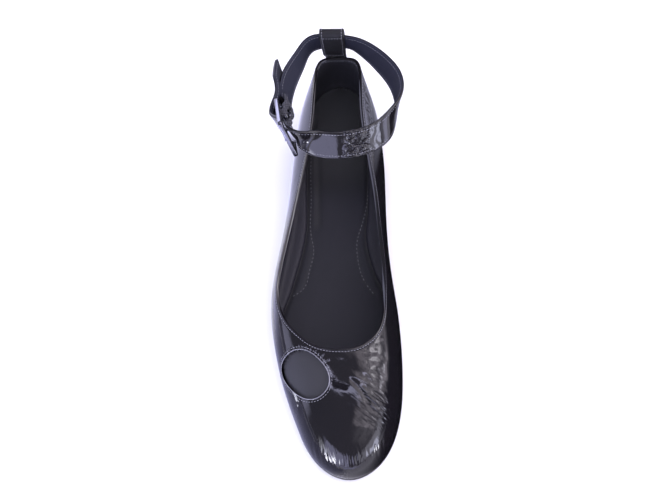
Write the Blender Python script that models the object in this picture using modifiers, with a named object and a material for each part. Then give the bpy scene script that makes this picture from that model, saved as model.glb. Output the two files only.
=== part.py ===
"""A right ballet flat with a round vamp cut-out and a buckled ankle strap held by a heel tab.

Metres in the scene, millimetres in the tables below. +Z is up, the toe points to -Y, the heel to +Y,
the lateral side is -X and the medial side +X. The origin is on the floor, under the middle of the shoe.
"""

import math

import bmesh
import bpy
import numpy as np
from mathutils import Matrix, Quaternion, Vector

MM = 0.001
CENTRE = Vector((1.2, 0.7, 0.0))

# Driving dimensions, mm
GAP = 0.3
SEAT_GAP = 0.42
WALL = 1.8
SOLE_THICKNESS = 3.2
HEEL_HEIGHT = 9.0
TOE_SPRING = 5.5
TREAD_FRONT_Y = -88.0
TREAD_REAR_Y = -38.0
TOE_Y = -129.6
HEEL_SEAT_Y = 68.0
HEEL_BREAST_Y = 74.0
SOLE_EDGE = 0.9
INSOLE_THICKNESS = 2.2
INSOLE_INSET = 2.1
HEEL_INSET = 0.6
HEEL_TAPER = 1.2
CUTOUT_RADII = (12.1, 15.7)
CUTOUT_PLACE = Vector((-16.1, -72.3, 32.0))
CUTOUT_AXIS = Vector((0.03, -0.25, 0.968))
CUTOUT_TURN = 38.0
STRAP_WIDTH = 16.5
STRAP_THICKNESS = 1.8
STRAP_POINT = 13.0
ELASTIC_WIDTH = 14.0
ELASTIC_THICKNESS = 1.3
BUCKLE_LENGTH = 25.4
BUCKLE_HEIGHT = 28.0
BUCKLE_THICKNESS = 2.4
FRONT_RAIL = 5.0
SIDE_RAIL = 4.5
REAR_RAIL = 3.0
BUCKLE_CORNER = 2.5
PRONG_RADIUS = 0.8
PRONG_RING = 3.8
NOTCH_DEPTH = 1.3

# Mesh density
LOOP_STEPS = 92
WALL_STEPS = 12
STRAP_STEPS = 74
SOLE_CUTS = 18
TAB_STEPS = 26

# The last, one row for each section from heel to toe. "wide" is the widest line of the wall,
# "top" is the topline; each has its place along the foot and its lateral and medial sides.
SECTION_COLUMNS = ("wide_y", "wide_lat", "wide_med", "top_y", "top_lat", "top_med", "top_z")
SECTIONS = {
    "heel_back": (126.8, 0.8, 0.8, 122.9, 2.0, 2.0, 57.6),
    "heel_corner": (121.8, -11.0, 12.6, 121.4, -8.8, 12.4, 57.5),
    "heel_side": (108.5, -19.8, 21.6, 111.0, -13.2, 15.9, 56.8),
    "counter": (90.0, -24.8, 26.6, 92.0, -14.0, 16.4, 54.0),
    "quarter": (68.0, -26.9, 29.2, 68.0, -16.4, 19.4, 49.5),
    "waist": (44.0, -28.6, 30.2, 42.0, -21.8, 24.4, 45.0),
    "arch": (17.0, -32.1, 31.6, 14.0, -28.0, 28.0, 41.8),
    "ball_rear": (-8.0, -36.8, 34.5, -8.0, -32.5, 30.4, 39.6),
    "ball": (-28.0, -38.4, 37.9, -25.0, -33.8, 30.6, 38.6),
    "throat_side": (-50.0, -35.8, 40.2, -39.0, -29.6, 29.7, 39.3),
    "throat_corner": (-73.0, -30.5, 41.0, -49.2, -21.2, 26.0, 41.0),
    "toe_side": (-97.0, -22.0, 38.6, -56.4, -12.5, 19.0, 42.9),
    "toe_corner": (-119.2, -9.8, 28.6, -59.6, -4.2, 12.0, 43.9),
    "toe_tip": (TOE_Y, 10.0, 10.0, -60.4, 4.0, 4.0, 44.2),
}

# The wall's own section between sole edge and topline: how far it tucks under at the sole, how high
# its widest point is, and where its shoulder and crown lie, as parts of its reach and of its height.
WALL_COLUMNS = ("tuck", "hip", "shoulder_out", "shoulder_up", "crown_out", "crown_up")
WALLS = {
    "heel_back": (1.6, 9.0, 1.12, 0.58, 0.62, 0.86),
    "counter": (2.0, 9.0, 0.86, 0.56, 0.36, 0.84),
    "waist": (3.8, 10.0, 0.98, 0.60, 0.48, 0.84),
    "ball": (2.4, 9.0, 0.95, 0.58, 0.50, 0.84),
    "throat_corner": (2.0, 8.0, 0.92, 0.62, 0.50, 0.90),
    "toe_tip": (1.6, 7.0, 0.88, 0.64, 0.46, 0.93),
}

# The ankle strap's middle line from its sewn end beside the buckle, round the heel and the front,
# and back through the buckle; lean is how far its upper edge tips outwards, in degrees.
STRAP_COLUMNS = ("x", "y", "z", "lean")
STRAP_LOOP = (
    (-26.9, 97.2, 76.4, 25.0),
    (-20.5, 111.4, 77.0, 15.0),
    (-14.6, 120.8, 77.4, 5.0),
    (-7.6, 123.1, 77.4, 1.0),
    (0.3, 122.9, 77.4, -1.0),
    (8.0, 122.3, 77.6, -4.0),
    (14.6, 119.6, 77.6, 4.0),
    (21.8, 114.4, 77.6, 14.0),
    (29.8, 106.4, 77.8, 20.0),
    (36.6, 96.0, 78.6, 18.0),
    (38.8, 84.0, 80.0, 6.0),
    (35.8, 71.4, 82.2, -12.0),
    (29.8, 60.2, 84.8, -32.0),
    (16.4, 51.6, 86.8, -45.0),
    (1.0, 49.2, 87.8, -45.0),
    (-12.0, 50.8, 88.6, -22.0),
)
STRAP_TIP = ((-31.0, 84.0, 79.2, 20.0), (-32.3, 96.0, 80.4, 23.0), (-34.3, 108.6, 81.6, 24.0))

# The buckle's plate: its centre, the way the strap runs through it and the way up across the strap
BUCKLE_CENTRE = Vector((-27.1, 62.2, 84.7))
BUCKLE_ALONG = Vector((0.15, -0.89, 0.43)).normalized()
BUCKLE_UP = Vector((-0.31, 0.37, 0.875))

# The heel tab from the counter's back up to its fold; bend is how far its edges curve round the counter
TAB_COLUMNS = ("x", "y", "z", "thickness", "width", "bend")
TAB_RISE = (
    (0.2, 128.9, 32.0, 2.6, 13.2, 1.4),
    (0.2, 128.5, 44.0, 2.8, 13.2, 1.3),
    (0.0, 126.5, 55.0, 3.0, 13.3, 0.9),
    (-0.4, 124.0, 61.5, 3.8, 13.6, 0.5),
    (-0.6, 122.5, 68.0, 6.4, 14.0, 0.0),
    (-0.8, 122.9, 77.4, 6.8, 14.4, 0.0),
    (-1.2, 123.2, 86.0, 6.4, 14.8, 0.0),
    (-1.4, 123.3, 88.4, 3.4, 14.8, 0.0),
)
STRAP_SLOT = (0.0, 122.5, 77.4)

# Materials: base colour, roughness, metallic
FINISHES = {
    "patent_leather": ((0.008, 0.008, 0.010), 0.06, 0.0),
    "sock_lining": ((0.035, 0.035, 0.045), 0.70, 0.0),
    "sole_rubber": ((0.012, 0.012, 0.013), 0.55, 0.0),
    "strap_leather": ((0.010, 0.010, 0.013), 0.12, 0.0),
    "elastic_web": ((0.030, 0.030, 0.036), 0.90, 0.0),
    "black_nickel": ((0.050, 0.050, 0.056), 0.18, 1.0),
}


def clear_scene():
    for item in list(bpy.data.objects):
        bpy.data.objects.remove(item, do_unlink=True)


def make_collection(name):
    collection = bpy.data.collections.new(name)
    bpy.context.scene.collection.children.link(collection)
    return collection


def make_material(name):
    colour, roughness, metallic = FINISHES[name]
    material = bpy.data.materials.new(name)
    material.use_nodes = True
    shader = material.node_tree.nodes["Principled BSDF"]
    shader.inputs["Base Color"].default_value = (*colour, 1.0)
    shader.inputs["Roughness"].default_value = roughness
    shader.inputs["Metallic"].default_value = metallic
    return material


def spline(knots, values, at, closed=False):
    """Cubic spline through the rows of values; a closed one repeats its first row as its last."""
    knots, values, at = np.asarray(knots), np.asarray(values, float), np.asarray(at)
    count = len(knots)
    step = np.diff(knots)
    slope = np.diff(values, axis=0) / step[:, None]
    matrix, right = np.eye(count), np.zeros_like(values)
    for i in range(1, count - 1):
        matrix[i, i - 1 : i + 2] = step[i - 1], 2 * (step[i - 1] + step[i]), step[i]
        right[i] = 6 * (slope[i] - slope[i - 1])
    if closed:
        matrix[0, [0, 1, count - 2]] = 2 * (step[0] + step[-1]), step[0], step[-1]
        right[0] = 6 * (slope[0] - slope[-1])
        matrix[-1, 0] = -1
    bend = np.linalg.solve(matrix, right)
    i = np.clip(np.searchsorted(knots, at, side="right") - 1, 0, count - 2)
    h = step[i][:, None]
    a, b = (knots[i + 1] - at)[:, None], (at - knots[i])[:, None]
    cubic = (bend[i] * a**3 + bend[i + 1] * b**3) / (6 * h)
    line = (values[i] / h - bend[i] * h / 6) * a + (values[i + 1] / h - bend[i + 1] * h / 6) * b
    return cubic + line


def chord_knots(points):
    lengths = np.linalg.norm(np.diff(np.asarray(points, float), axis=0), axis=1)
    return np.concatenate(([0.0], np.cumsum(lengths)))


def clamped_weights(count, at):
    """Weights of a clamped cubic B-spline's control points at each parameter from 0 to 1."""
    knots = np.concatenate(([0.0] * 3, np.linspace(0, 1, count - 2), [1.0] * 3))
    at = np.minimum(at, 1 - 1e-9)
    weights = [((at >= knots[i]) & (at < knots[i + 1])).astype(float) for i in range(len(knots) - 1)]
    for degree in (1, 2, 3):
        raised = []
        for i in range(len(weights) - 1):
            left, right = knots[i + degree] - knots[i], knots[i + degree + 1] - knots[i + 1]
            rise = (at - knots[i]) / left * weights[i] if left else 0 * at
            fall = (knots[i + degree + 1] - at) / right * weights[i + 1] if right else 0 * at
            raised.append(rise + fall)
        weights = raised
    return np.stack(weights, axis=1)


def sole_top(y):
    """Height of the outsole's upper face: flat under the ball, sprung at the toe, raised at the heel."""
    return sole_bottom(y) + SOLE_THICKNESS


def sole_bottom(y):
    toe = np.clip((TREAD_FRONT_Y - np.asarray(y, float)) / (TREAD_FRONT_Y - TOE_Y), 0, None)
    rise = np.clip((np.asarray(y, float) - TREAD_REAR_Y) / (HEEL_SEAT_Y - TREAD_REAR_Y), 0, 1)
    return TOE_SPRING * toe**2 + HEEL_HEIGHT * rise**2 * (3 - 2 * rise)


def section_rows():
    """Both tables as one closed ring of rows: down the lateral side and back up the medial side."""
    order = list(SECTIONS)
    place = {name: i for i, name in enumerate(order)}
    wall = spline([place[name] for name in WALLS], list(WALLS.values()), np.arange(len(order)))
    rows = []
    for side, names in (("lat", order), ("med", order[-2:0:-1])):
        for name in names:
            at = dict(zip(SECTION_COLUMNS, SECTIONS[name]))
            wide, top = (at["wide_" + side], at["wide_y"]), (at["top_" + side], at["top_y"])
            rows.append((*wide, *top, at["top_z"], *wall[place[name]]))
    return np.array(rows + rows[:1])


def last_loop(steps):
    """Rows of the last at even steps round the shoe, from the heel's back over the lateral side."""
    rows = section_rows()
    knots = chord_knots((rows[:, 0:2] + rows[:, 2:4]) / 2)
    return spline(knots, rows, np.linspace(0, knots[-1], steps, endpoint=False), closed=True)


def wall_points(loop, ups):
    """The upper's outer face: a ring of points for each height parameter, from the sole up."""
    wide, top, top_z = loop[:, 0:2], loop[:, 2:4], loop[:, 4]
    tuck, hip, shoulder_out, shoulder_up, crown_out, crown_up = loop[:, 5:11].T
    reach = np.linalg.norm(wide - top, axis=1)
    outward = (wide - top) / reach[:, None]
    base = sole_top(wide[:, 1]) + SEAT_GAP
    tall = top_z - base
    controls = (
        (reach - tuck, base),
        (reach + 0.2, base + 0.30 * hip),
        (reach + 0.6, base + hip),
        (reach * shoulder_out, base + tall * shoulder_up),
        (reach * crown_out, base + tall * crown_up),
        (reach * 0, top_z),
    )
    rings = []
    for weights in clamped_weights(len(controls), ups):
        out = sum(w * c[0] for w, c in zip(weights, controls))
        up = sum(w * c[1] for w, c in zip(weights, controls))
        rings.append(np.column_stack((top + outward * out[:, None], up)))
    return rings


def feather_outline(loop, inset):
    """The sole's outline in plan: where the wall meets the sole, moved inwards by inset."""
    wide, top = loop[:, 0:2], loop[:, 2:4]
    outward = (wide - top) / np.linalg.norm(wide - top, axis=1)[:, None]
    feather = wide - outward * loop[:, 5:6]
    ahead = np.roll(feather, -1, axis=0) - np.roll(feather, 1, axis=0)
    normal = np.column_stack((ahead[:, 1], -ahead[:, 0]))
    normal /= np.linalg.norm(normal, axis=1)[:, None]
    return feather - normal * inset


def loft(bm, rings, wrap=False):
    """Joins rings of equal length with quads; wrap joins the last ring to the first."""
    made = [[bm.verts.new(Vector(p) * MM) for p in ring] for ring in rings]
    count = len(made[0])
    pairs = list(zip(made, made[1:])) + ([(made[-1], made[0])] if wrap else [])
    for low, high in pairs:
        for i in range(count):
            j = (i + 1) % count
            bm.faces.new((low[i], low[j], high[j], high[i]))
    return made


def add_object(name, bm, collection, material, smooth_angle=40):
    bmesh.ops.recalc_face_normals(bm, faces=bm.faces)
    mesh = bpy.data.meshes.new(name)
    bm.to_mesh(mesh)
    bm.free()
    mesh.materials.append(material)
    mesh.shade_smooth()
    mesh.set_sharp_from_angle(angle=math.radians(smooth_angle))
    item = bpy.data.objects.new(name, mesh)
    collection.objects.link(item)
    return item


def add_cutter(item, cutters):
    for collection in list(item.users_collection):
        collection.objects.unlink(item)
    cutters.objects.link(item)
    item.hide_render = True
    item.display_type = "WIRE"
    return item


def cut(item, cutter):
    boolean = item.modifiers.new("cut", "BOOLEAN")
    boolean.operation = "DIFFERENCE"
    boolean.object = cutter


def round_edges(item, width, segments=1):
    bevel = item.modifiers.new("round_edges", "BEVEL")
    bevel.width = width * MM
    bevel.segments = segments
    bevel.limit_method = "ANGLE"
    bevel.angle_limit = math.radians(50)


def slab(name, outline, bottom, top, collection, material):
    """A plate of the given outline, cut across the foot so that it can follow the sole's profile."""
    bm = bmesh.new()
    face = bm.faces.new([bm.verts.new((x * MM, y * MM, 0)) for x, y in outline])
    bmesh.ops.recalc_face_normals(bm, faces=[face])
    low, high = outline[:, 1].min(), outline[:, 1].max()
    for y in np.linspace(low, high, SOLE_CUTS + 2)[1:-1]:
        everything = list(bm.verts) + list(bm.edges) + list(bm.faces)
        bmesh.ops.bisect_plane(bm, geom=everything, plane_co=(0, y * MM, 0), plane_no=(0, 1, 0))
    raised = bmesh.ops.extrude_face_region(bm, geom=list(bm.faces), use_keep_orig=True)
    upper = {v for v in raised["geom"] if isinstance(v, bmesh.types.BMVert)}
    for v in bm.verts:
        v.co.z = float((top if v in upper else bottom)(v.co.y / MM)) * MM
    return add_object(name, bm, collection, material)


def build_outsole(loop, parts, material):
    outline = feather_outline(loop, -SOLE_EDGE)
    outsole = slab("outsole", outline, sole_bottom, sole_top, parts, material)
    round_edges(outsole, 0.5)


def build_insole(loop, parts, material):
    outline = feather_outline(loop, INSOLE_INSET)
    slab(
        "insole",
        outline,
        lambda y: sole_top(y) + SEAT_GAP,
        lambda y: sole_top(y) + SEAT_GAP + INSOLE_THICKNESS,
        parts,
        material,
    )


def build_heel(loop, parts, material):
    """A low block under the heel seat, a little smaller at the floor, with a straight breast."""
    top_z = HEEL_HEIGHT - GAP
    bm = bmesh.new()
    rings = []
    for inset, z in ((HEEL_INSET + HEEL_TAPER, 0.0), (HEEL_INSET, top_z)):
        rings.append([(x, y, z) for x, y in feather_outline(loop, inset - SOLE_EDGE)])
    bottom, top = loft(bm, rings)
    bm.faces.new(bottom)
    bm.faces.new(top)
    everything = list(bm.verts) + list(bm.edges) + list(bm.faces)
    sliced = bmesh.ops.bisect_plane(
        bm,
        geom=everything,
        plane_co=(0, HEEL_BREAST_Y * MM, 0),
        plane_no=(0, 1, 0),
        clear_inner=True,
    )
    edges = [e for e in sliced["geom_cut"] if isinstance(e, bmesh.types.BMEdge)]
    bmesh.ops.edgeloop_fill(bm, edges=edges)
    heel = add_object("heel", bm, parts, material)
    round_edges(heel, 0.6)


def build_upper(loop, parts, cutters, material):
    """One hollow wall, open at the topline and underneath, with the round cut-out through the vamp."""
    bm = bmesh.new()
    loft(bm, wall_points(loop, np.linspace(0, 1, WALL_STEPS + 1)))
    upper = add_object("upper", bm, parts, material)
    thicken = upper.modifiers.new("wall", "SOLIDIFY")
    thicken.thickness = WALL * MM
    thicken.offset = -1
    thicken.use_even_offset = True
    bpy.ops.mesh.primitive_cylinder_add(vertices=48, radius=MM, depth=40 * MM)
    turn = CUTOUT_AXIS.to_track_quat("Z", "Y") @ Quaternion((0, 0, 1), math.radians(CUTOUT_TURN))
    bpy.context.object.matrix_world = Matrix.LocRotScale(CUTOUT_PLACE * MM, turn, (*CUTOUT_RADII, 1.0))
    cutter = add_cutter(bpy.context.object, cutters)
    cutter.name = "cutout_cutter"
    cut(upper, cutter)


def buckle_place(along, out, up=0.0):
    """A point in the buckle's own directions: along the strap, outwards, and up across the strap."""
    return BUCKLE_CENTRE + BUCKLE_ALONG * along + buckle_out() * out + buckle_up() * up


def buckle_up():
    return (BUCKLE_UP - BUCKLE_ALONG * BUCKLE_UP.dot(BUCKLE_ALONG)).normalized()


def buckle_out():
    return buckle_up().cross(BUCKLE_ALONG).normalized() * -1


def buckle_lean():
    """The strap's lean, in degrees, that lays it flat in the buckle."""
    side = BUCKLE_ALONG.cross(Vector((0, 0, 1))).normalized()
    return math.degrees(math.asin(buckle_up().dot(side if side.x < 0 else -side)))


def strap_rows():
    lean = buckle_lean()
    bar_along = -(BUCKLE_LENGTH - REAR_RAIL) / 2
    rail_along = (BUCKLE_LENGTH - FRONT_RAIL) / 2
    half = BUCKLE_THICKNESS / 2
    under_rail = -(half + STRAP_THICKNESS / 2 + 2.6)
    over_bar = PRONG_RING + PRONG_RADIUS + 0.4 + STRAP_THICKNESS / 2
    start = [(*buckle_place(bar_along - 7.0, -1.8), lean), (*buckle_place(bar_along - 13.0, -1.9), lean + 5)]
    through = [
        (*buckle_place(rail_along + 0.5, under_rail), lean - 11),
        (*buckle_place((rail_along + bar_along) / 2, (under_rail + over_bar) / 2), lean - 14),
        (*buckle_place(bar_along, over_bar), lean),
    ]
    return np.array(start + list(STRAP_LOOP) + through + list(STRAP_TIP))


def strap_frames(rows, steps):
    """Even steps along the strap: its middle, its forward direction and the direction across it."""
    knots = chord_knots(rows[:, 0:3])
    at = np.linspace(0, knots[-1], steps + 1)
    dense = spline(knots, rows, at)
    ahead = np.gradient(dense[:, 0:3], at, axis=0)
    frames = []
    for row, way in zip(dense, ahead):
        forward = Vector(way).normalized()
        level = Vector((0, 0, 1)).cross(forward).normalized()
        upright = forward.cross(level).normalized()
        lean = math.radians(row[3])
        across = upright * math.cos(lean) + level * math.sin(lean)
        frames.append((Vector(row[0:3]), forward, across))
    return frames, knots[-1]


def band_ring(middle, forward, across, width, thickness, chamfer):
    """One rounded-corner section of a flat band."""
    out = forward.cross(across).normalized()
    a, b = width / 2, thickness / 2
    corners = ((a, b - chamfer), (a - chamfer, b), (chamfer - a, b), (-a, b - chamfer))
    corners += ((-a, chamfer - b), (chamfer - a, -b), (a - chamfer, -b), (a, chamfer - b))
    return [middle + across * s + out * t for s, t in corners]


def build_strap(parts, cutters, material):
    """One flat band from its sewn end, round the ankle, through the buckle to its pointed free end."""
    frames, length = strap_frames(strap_rows(), STRAP_STEPS)
    rings = []
    for i, (middle, forward, across) in enumerate(frames):
        left = length * (STRAP_STEPS - i) / STRAP_STEPS
        width = STRAP_WIDTH * min(1.0, 0.06 + 0.94 * left / STRAP_POINT)
        rings.append(band_ring(middle, forward, across, width, STRAP_THICKNESS, 0.35))
    bm = bmesh.new()
    made = loft(bm, rings)
    bm.faces.new(made[0])
    bm.faces.new(made[-1])
    strap = add_object("ankle_strap", bm, parts, material)
    slot = box_cutter("prong_slot", (11.6, 3.0, 9.0), cutters)
    slot.matrix_world = buckle_matrix(-0.6, 1.2)
    cut(strap, slot)


def box_cutter(name, size, cutters):
    """A box with its sides along the strap, across it and outwards, before it is placed."""
    bpy.ops.mesh.primitive_cube_add(size=1)
    item = add_cutter(bpy.context.object, cutters)
    item.name = name
    for v in item.data.vertices:
        v.co = Vector(a * b for a, b in zip(v.co, size)) * MM
    return item


def buckle_matrix(along=0.0, out=0.0):
    """Places a shape whose X runs along the strap, Y across it and Z outwards."""
    turn = Matrix((BUCKLE_ALONG, buckle_up(), buckle_out())).transposed().to_4x4()
    return Matrix.Translation(buckle_place(along, out) * MM) @ turn


def rounded_rectangle(x_low, x_high, y_low, y_high, radius, z, steps=4):
    corners = ((x_high, y_high, 0), (x_low, y_high, 90), (x_low, y_low, 180), (x_high, y_low, 270))
    points = []
    for x, y, start in corners:
        centre_x = x - math.copysign(radius, x - (x_low + x_high) / 2)
        centre_y = y - math.copysign(radius, y - (y_low + y_high) / 2)
        for k in range(steps + 1):
            turn = math.radians(start + 90 * k / steps)
            points.append((centre_x + radius * math.cos(turn), centre_y + radius * math.sin(turn), z))
    return points


def build_buckle_frame(parts, cutters, material):
    """A flat rectangular frame with softened edges and a notch in its front rail for the prong."""
    a, b, half, soft = BUCKLE_LENGTH / 2, BUCKLE_HEIGHT / 2, BUCKLE_THICKNESS / 2, 0.5
    inner = (REAR_RAIL - a, a - FRONT_RAIL, SIDE_RAIL - b, b - SIDE_RAIL)
    rings = []
    for inset, z in ((0, soft - half), (0, half - soft), (soft, half)):
        rings.append(rounded_rectangle(inset - a, a - inset, inset - b, b - inset, BUCKLE_CORNER - inset, z))
    for grow, z in ((soft, half), (0, half - soft), (0, soft - half), (soft, -half)):
        x_low, x_high, y_low, y_high = inner
        rings.append(rounded_rectangle(x_low - grow, x_high + grow, y_low - grow, y_high + grow, 1.0 + grow, z))
    rings.append(rounded_rectangle(soft - a, a - soft, soft - b, b - soft, BUCKLE_CORNER - soft, -half))
    bm = bmesh.new()
    loft(bm, rings, wrap=True)
    frame = add_object("buckle_frame", bm, parts, material)
    frame.matrix_world = buckle_matrix()
    notch = box_cutter("prong_notch", (FRONT_RAIL + 2, 2 * (PRONG_RADIUS + GAP), 2 * NOTCH_DEPTH), cutters)
    notch.matrix_world = buckle_matrix(a - FRONT_RAIL / 2, half)
    cut(frame, notch)


def curve_tube(name, points, radius, parts, material):
    """A round wire through points of the buckle's plane, as a closed mesh."""
    curve = bpy.data.curves.new(name, "CURVE")
    curve.dimensions = "3D"
    curve.bevel_depth = radius * MM
    curve.bevel_resolution = 2
    curve.use_fill_caps = True
    line = curve.splines.new("POLY")
    line.points.add(len(points) - 1)
    for point, (along, out) in zip(line.points, points):
        point.co = (along * MM, 0, out * MM, 1)
    item = bpy.data.objects.new(name, curve)
    parts.objects.link(item)
    bpy.context.view_layer.update()
    mesh = bpy.data.meshes.new_from_object(item.evaluated_get(bpy.context.evaluated_depsgraph_get()))
    bpy.data.objects.remove(item, do_unlink=True)
    bpy.data.curves.remove(curve)
    bm = bmesh.new()
    bm.from_mesh(mesh)
    bpy.data.meshes.remove(mesh)
    bmesh.ops.remove_doubles(bm, verts=bm.verts, dist=0.00001)
    return add_object(name, bm, parts, material)


def build_prong(parts, material):
    """A wire ring round the rear rail and a straight pin that rests in the front rail's notch."""
    bar_along, rail_along = -(BUCKLE_LENGTH - REAR_RAIL) / 2, (BUCKLE_LENGTH - FRONT_RAIL) / 2
    rest = BUCKLE_THICKNESS / 2 - NOTCH_DEPTH + GAP + PRONG_RADIUS
    points = []
    for turn in range(310, -1, -30):
        angle = math.radians(turn)
        points.append((bar_along + PRONG_RING * math.cos(angle), PRONG_RING * math.sin(angle)))
    points += [(bar_along + PRONG_RING + 3.0, 0.3), (2.0, 0.7), (rail_along - 3.0, rest), (rail_along - 0.6, rest)]
    prong = curve_tube("buckle_prong", points, PRONG_RADIUS, parts, material)
    prong.matrix_world = buckle_matrix()


def build_elastic(parts, cutters, material):
    """A woven band that turns round the rear rail and runs back inside the strap's sewn end."""
    bar_along = -(BUCKLE_LENGTH - REAR_RAIL) / 2
    offset = BUCKLE_THICKNESS / 2 + 2 * GAP + ELASTIC_THICKNESS / 2
    turn_radius = REAR_RAIL / 2 + 2 * GAP + ELASTIC_THICKNESS / 2
    tail_out = -(1.8 + STRAP_THICKNESS / 2 + GAP + ELASTIC_THICKNESS / 2 + 0.3)
    line = [(bar_along - 11.0, tail_out), (bar_along - 8.0, tail_out), (bar_along - 4.0, tail_out + 0.3)]
    line += [
        (bar_along + turn_radius * math.cos(a), offset * math.sin(a))
        for a in (math.radians(t) for t in range(-120, 121, 30))
    ]
    line += [(bar_along - 3.0, offset * 0.7), (bar_along - 4.8, 0.6)]
    knots = chord_knots(line)
    dense = spline(knots, line, np.linspace(0, knots[-1], 30))
    ahead = np.gradient(dense, axis=0)
    rings = []
    for (along, out), way in zip(dense, ahead):
        forward = Vector((way[0], 0, way[1])).normalized()
        middle = Vector((along, 0, out))
        rings.append(band_ring(middle, forward, Vector((0, 1, 0)), ELASTIC_WIDTH, ELASTIC_THICKNESS, 0.25))
    bm = bmesh.new()
    made = loft(bm, rings)
    bm.faces.new(made[0])
    bm.faces.new(made[-1])
    elastic = add_object("strap_elastic", bm, parts, material)
    elastic.matrix_world = buckle_matrix()
    slot = box_cutter("elastic_slot", (11.0, 2 * PRONG_RADIUS + 1.6, 12.0), cutters)
    slot.matrix_world = buckle_matrix(bar_along, 0.0)
    cut(elastic, slot)


def tab_ring(middle, forward, width, thickness, bend, chamfer=0.4):
    """One section of the tab, curved round the counter by bend."""
    across = Vector((1, 0, 0))
    out = forward.cross(across).normalized()
    a, b = width / 2, thickness / 2
    inner = np.linspace(a - chamfer, chamfer - a, 5)
    section = [(a, b - chamfer)] + [(s, b) for s in inner] + [(-a, b - chamfer), (-a, chamfer - b)]
    section += [(s, -b) for s in inner[::-1]] + [(a, chamfer - b)]
    return [middle + across * s + out * (t - bend * (s / a) ** 2) for s, t in section]


def build_tab(parts, cutters, material):
    """A folded leather strip on the counter's back whose loop carries the strap."""
    rows = np.array(TAB_RISE)
    knots = chord_knots(rows[:, 1:3])
    dense = spline(knots, rows, np.linspace(0, knots[-1], TAB_STEPS))
    ahead = np.gradient(dense[:, 1:3], axis=0)
    bm = bmesh.new()
    rings = []
    for (x, y, z, thickness, width, bend), way in zip(dense, ahead):
        forward = Vector((0, *way)).normalized()
        rings.append(tab_ring(Vector((x, y, z)), forward, width, thickness, bend))
    made = loft(bm, rings)
    bm.faces.new(made[0])
    bm.faces.new(made[-1])
    tab = add_object("heel_tab", bm, parts, material)
    slot = box_cutter("tab_slot", (24.0, STRAP_THICKNESS + 2.1, STRAP_WIDTH + 1.6), cutters)
    slot.location = Vector(STRAP_SLOT) * MM
    cut(tab, slot)


def main():
    clear_scene()
    parts, cutters = make_collection("ballet_flat"), make_collection("cutters")
    finish = {name: make_material(name) for name in FINISHES}
    loop = last_loop(LOOP_STEPS)
    build_outsole(loop, parts, finish["sole_rubber"])
    build_heel(loop, parts, finish["sole_rubber"])
    build_insole(loop, parts, finish["sock_lining"])
    build_upper(loop, parts, cutters, finish["patent_leather"])
    build_tab(parts, cutters, finish["strap_leather"])
    build_strap(parts, cutters, finish["strap_leather"])
    build_elastic(parts, cutters, finish["elastic_web"])
    build_buckle_frame(parts, cutters, finish["black_nickel"])
    build_prong(parts, finish["black_nickel"])
    for item in (*parts.objects, *cutters.objects):
        item.matrix_basis = Matrix.Translation(-CENTRE * MM) @ item.matrix_basis


main()
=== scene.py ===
import math

import bmesh
import bpy
import numpy as np
from mathutils import Matrix, Vector
from mathutils.bvhtree import BVHTree


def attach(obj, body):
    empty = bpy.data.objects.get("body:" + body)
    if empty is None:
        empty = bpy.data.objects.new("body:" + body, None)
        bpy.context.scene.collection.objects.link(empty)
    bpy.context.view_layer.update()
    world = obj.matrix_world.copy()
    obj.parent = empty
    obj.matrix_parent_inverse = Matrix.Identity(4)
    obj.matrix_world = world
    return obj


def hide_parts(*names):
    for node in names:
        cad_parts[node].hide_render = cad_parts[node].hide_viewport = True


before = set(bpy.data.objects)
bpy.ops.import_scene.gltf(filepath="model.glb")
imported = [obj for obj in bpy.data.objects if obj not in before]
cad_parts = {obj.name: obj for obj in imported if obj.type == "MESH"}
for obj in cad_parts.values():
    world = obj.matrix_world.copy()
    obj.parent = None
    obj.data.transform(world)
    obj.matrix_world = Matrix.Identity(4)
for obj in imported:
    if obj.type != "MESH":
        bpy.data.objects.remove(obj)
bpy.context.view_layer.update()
mm = 0.001
middle = np.array((1.2, 0.7, 0.0))  # where the part's origin lies in the tables below

# camera, light and floor

cameraSettings = {
    "place": (0.0376, -0.3124, 0.8589), "tilt": 21.0, "turn": 2.49,
    "lens": 79.0, "sensor": 36.0, "clip": (0.05, 20.0),
}
studio = {
    "sky": (0.32, 0.32, 0.39), "backdrop": (1.0, 1.0, 1.0), "floor": (0.85, 0.85, 0.875), "floorSize": 6.0,
    # clouds in the cloudy boxes: scale of the noise, darkest and brightest
    "mottle": (7.0, 0.25, 1.8),
    # where a card's edge starts to fade and where it is gone, in shares of its size from the middle
    "cardFade": (0.34, 0.5),
    # lamps: place, size and power
    "lamps": {
        "overhead": ((-0.35, 0.1, 1.1), (0.9, 0.9), 7.0),
        "front": ((0.1, -0.9, 0.7), (0.7, 0.5), 3.0),
    },
    "lampTarget": (0, 0, 0.03),
}
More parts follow.
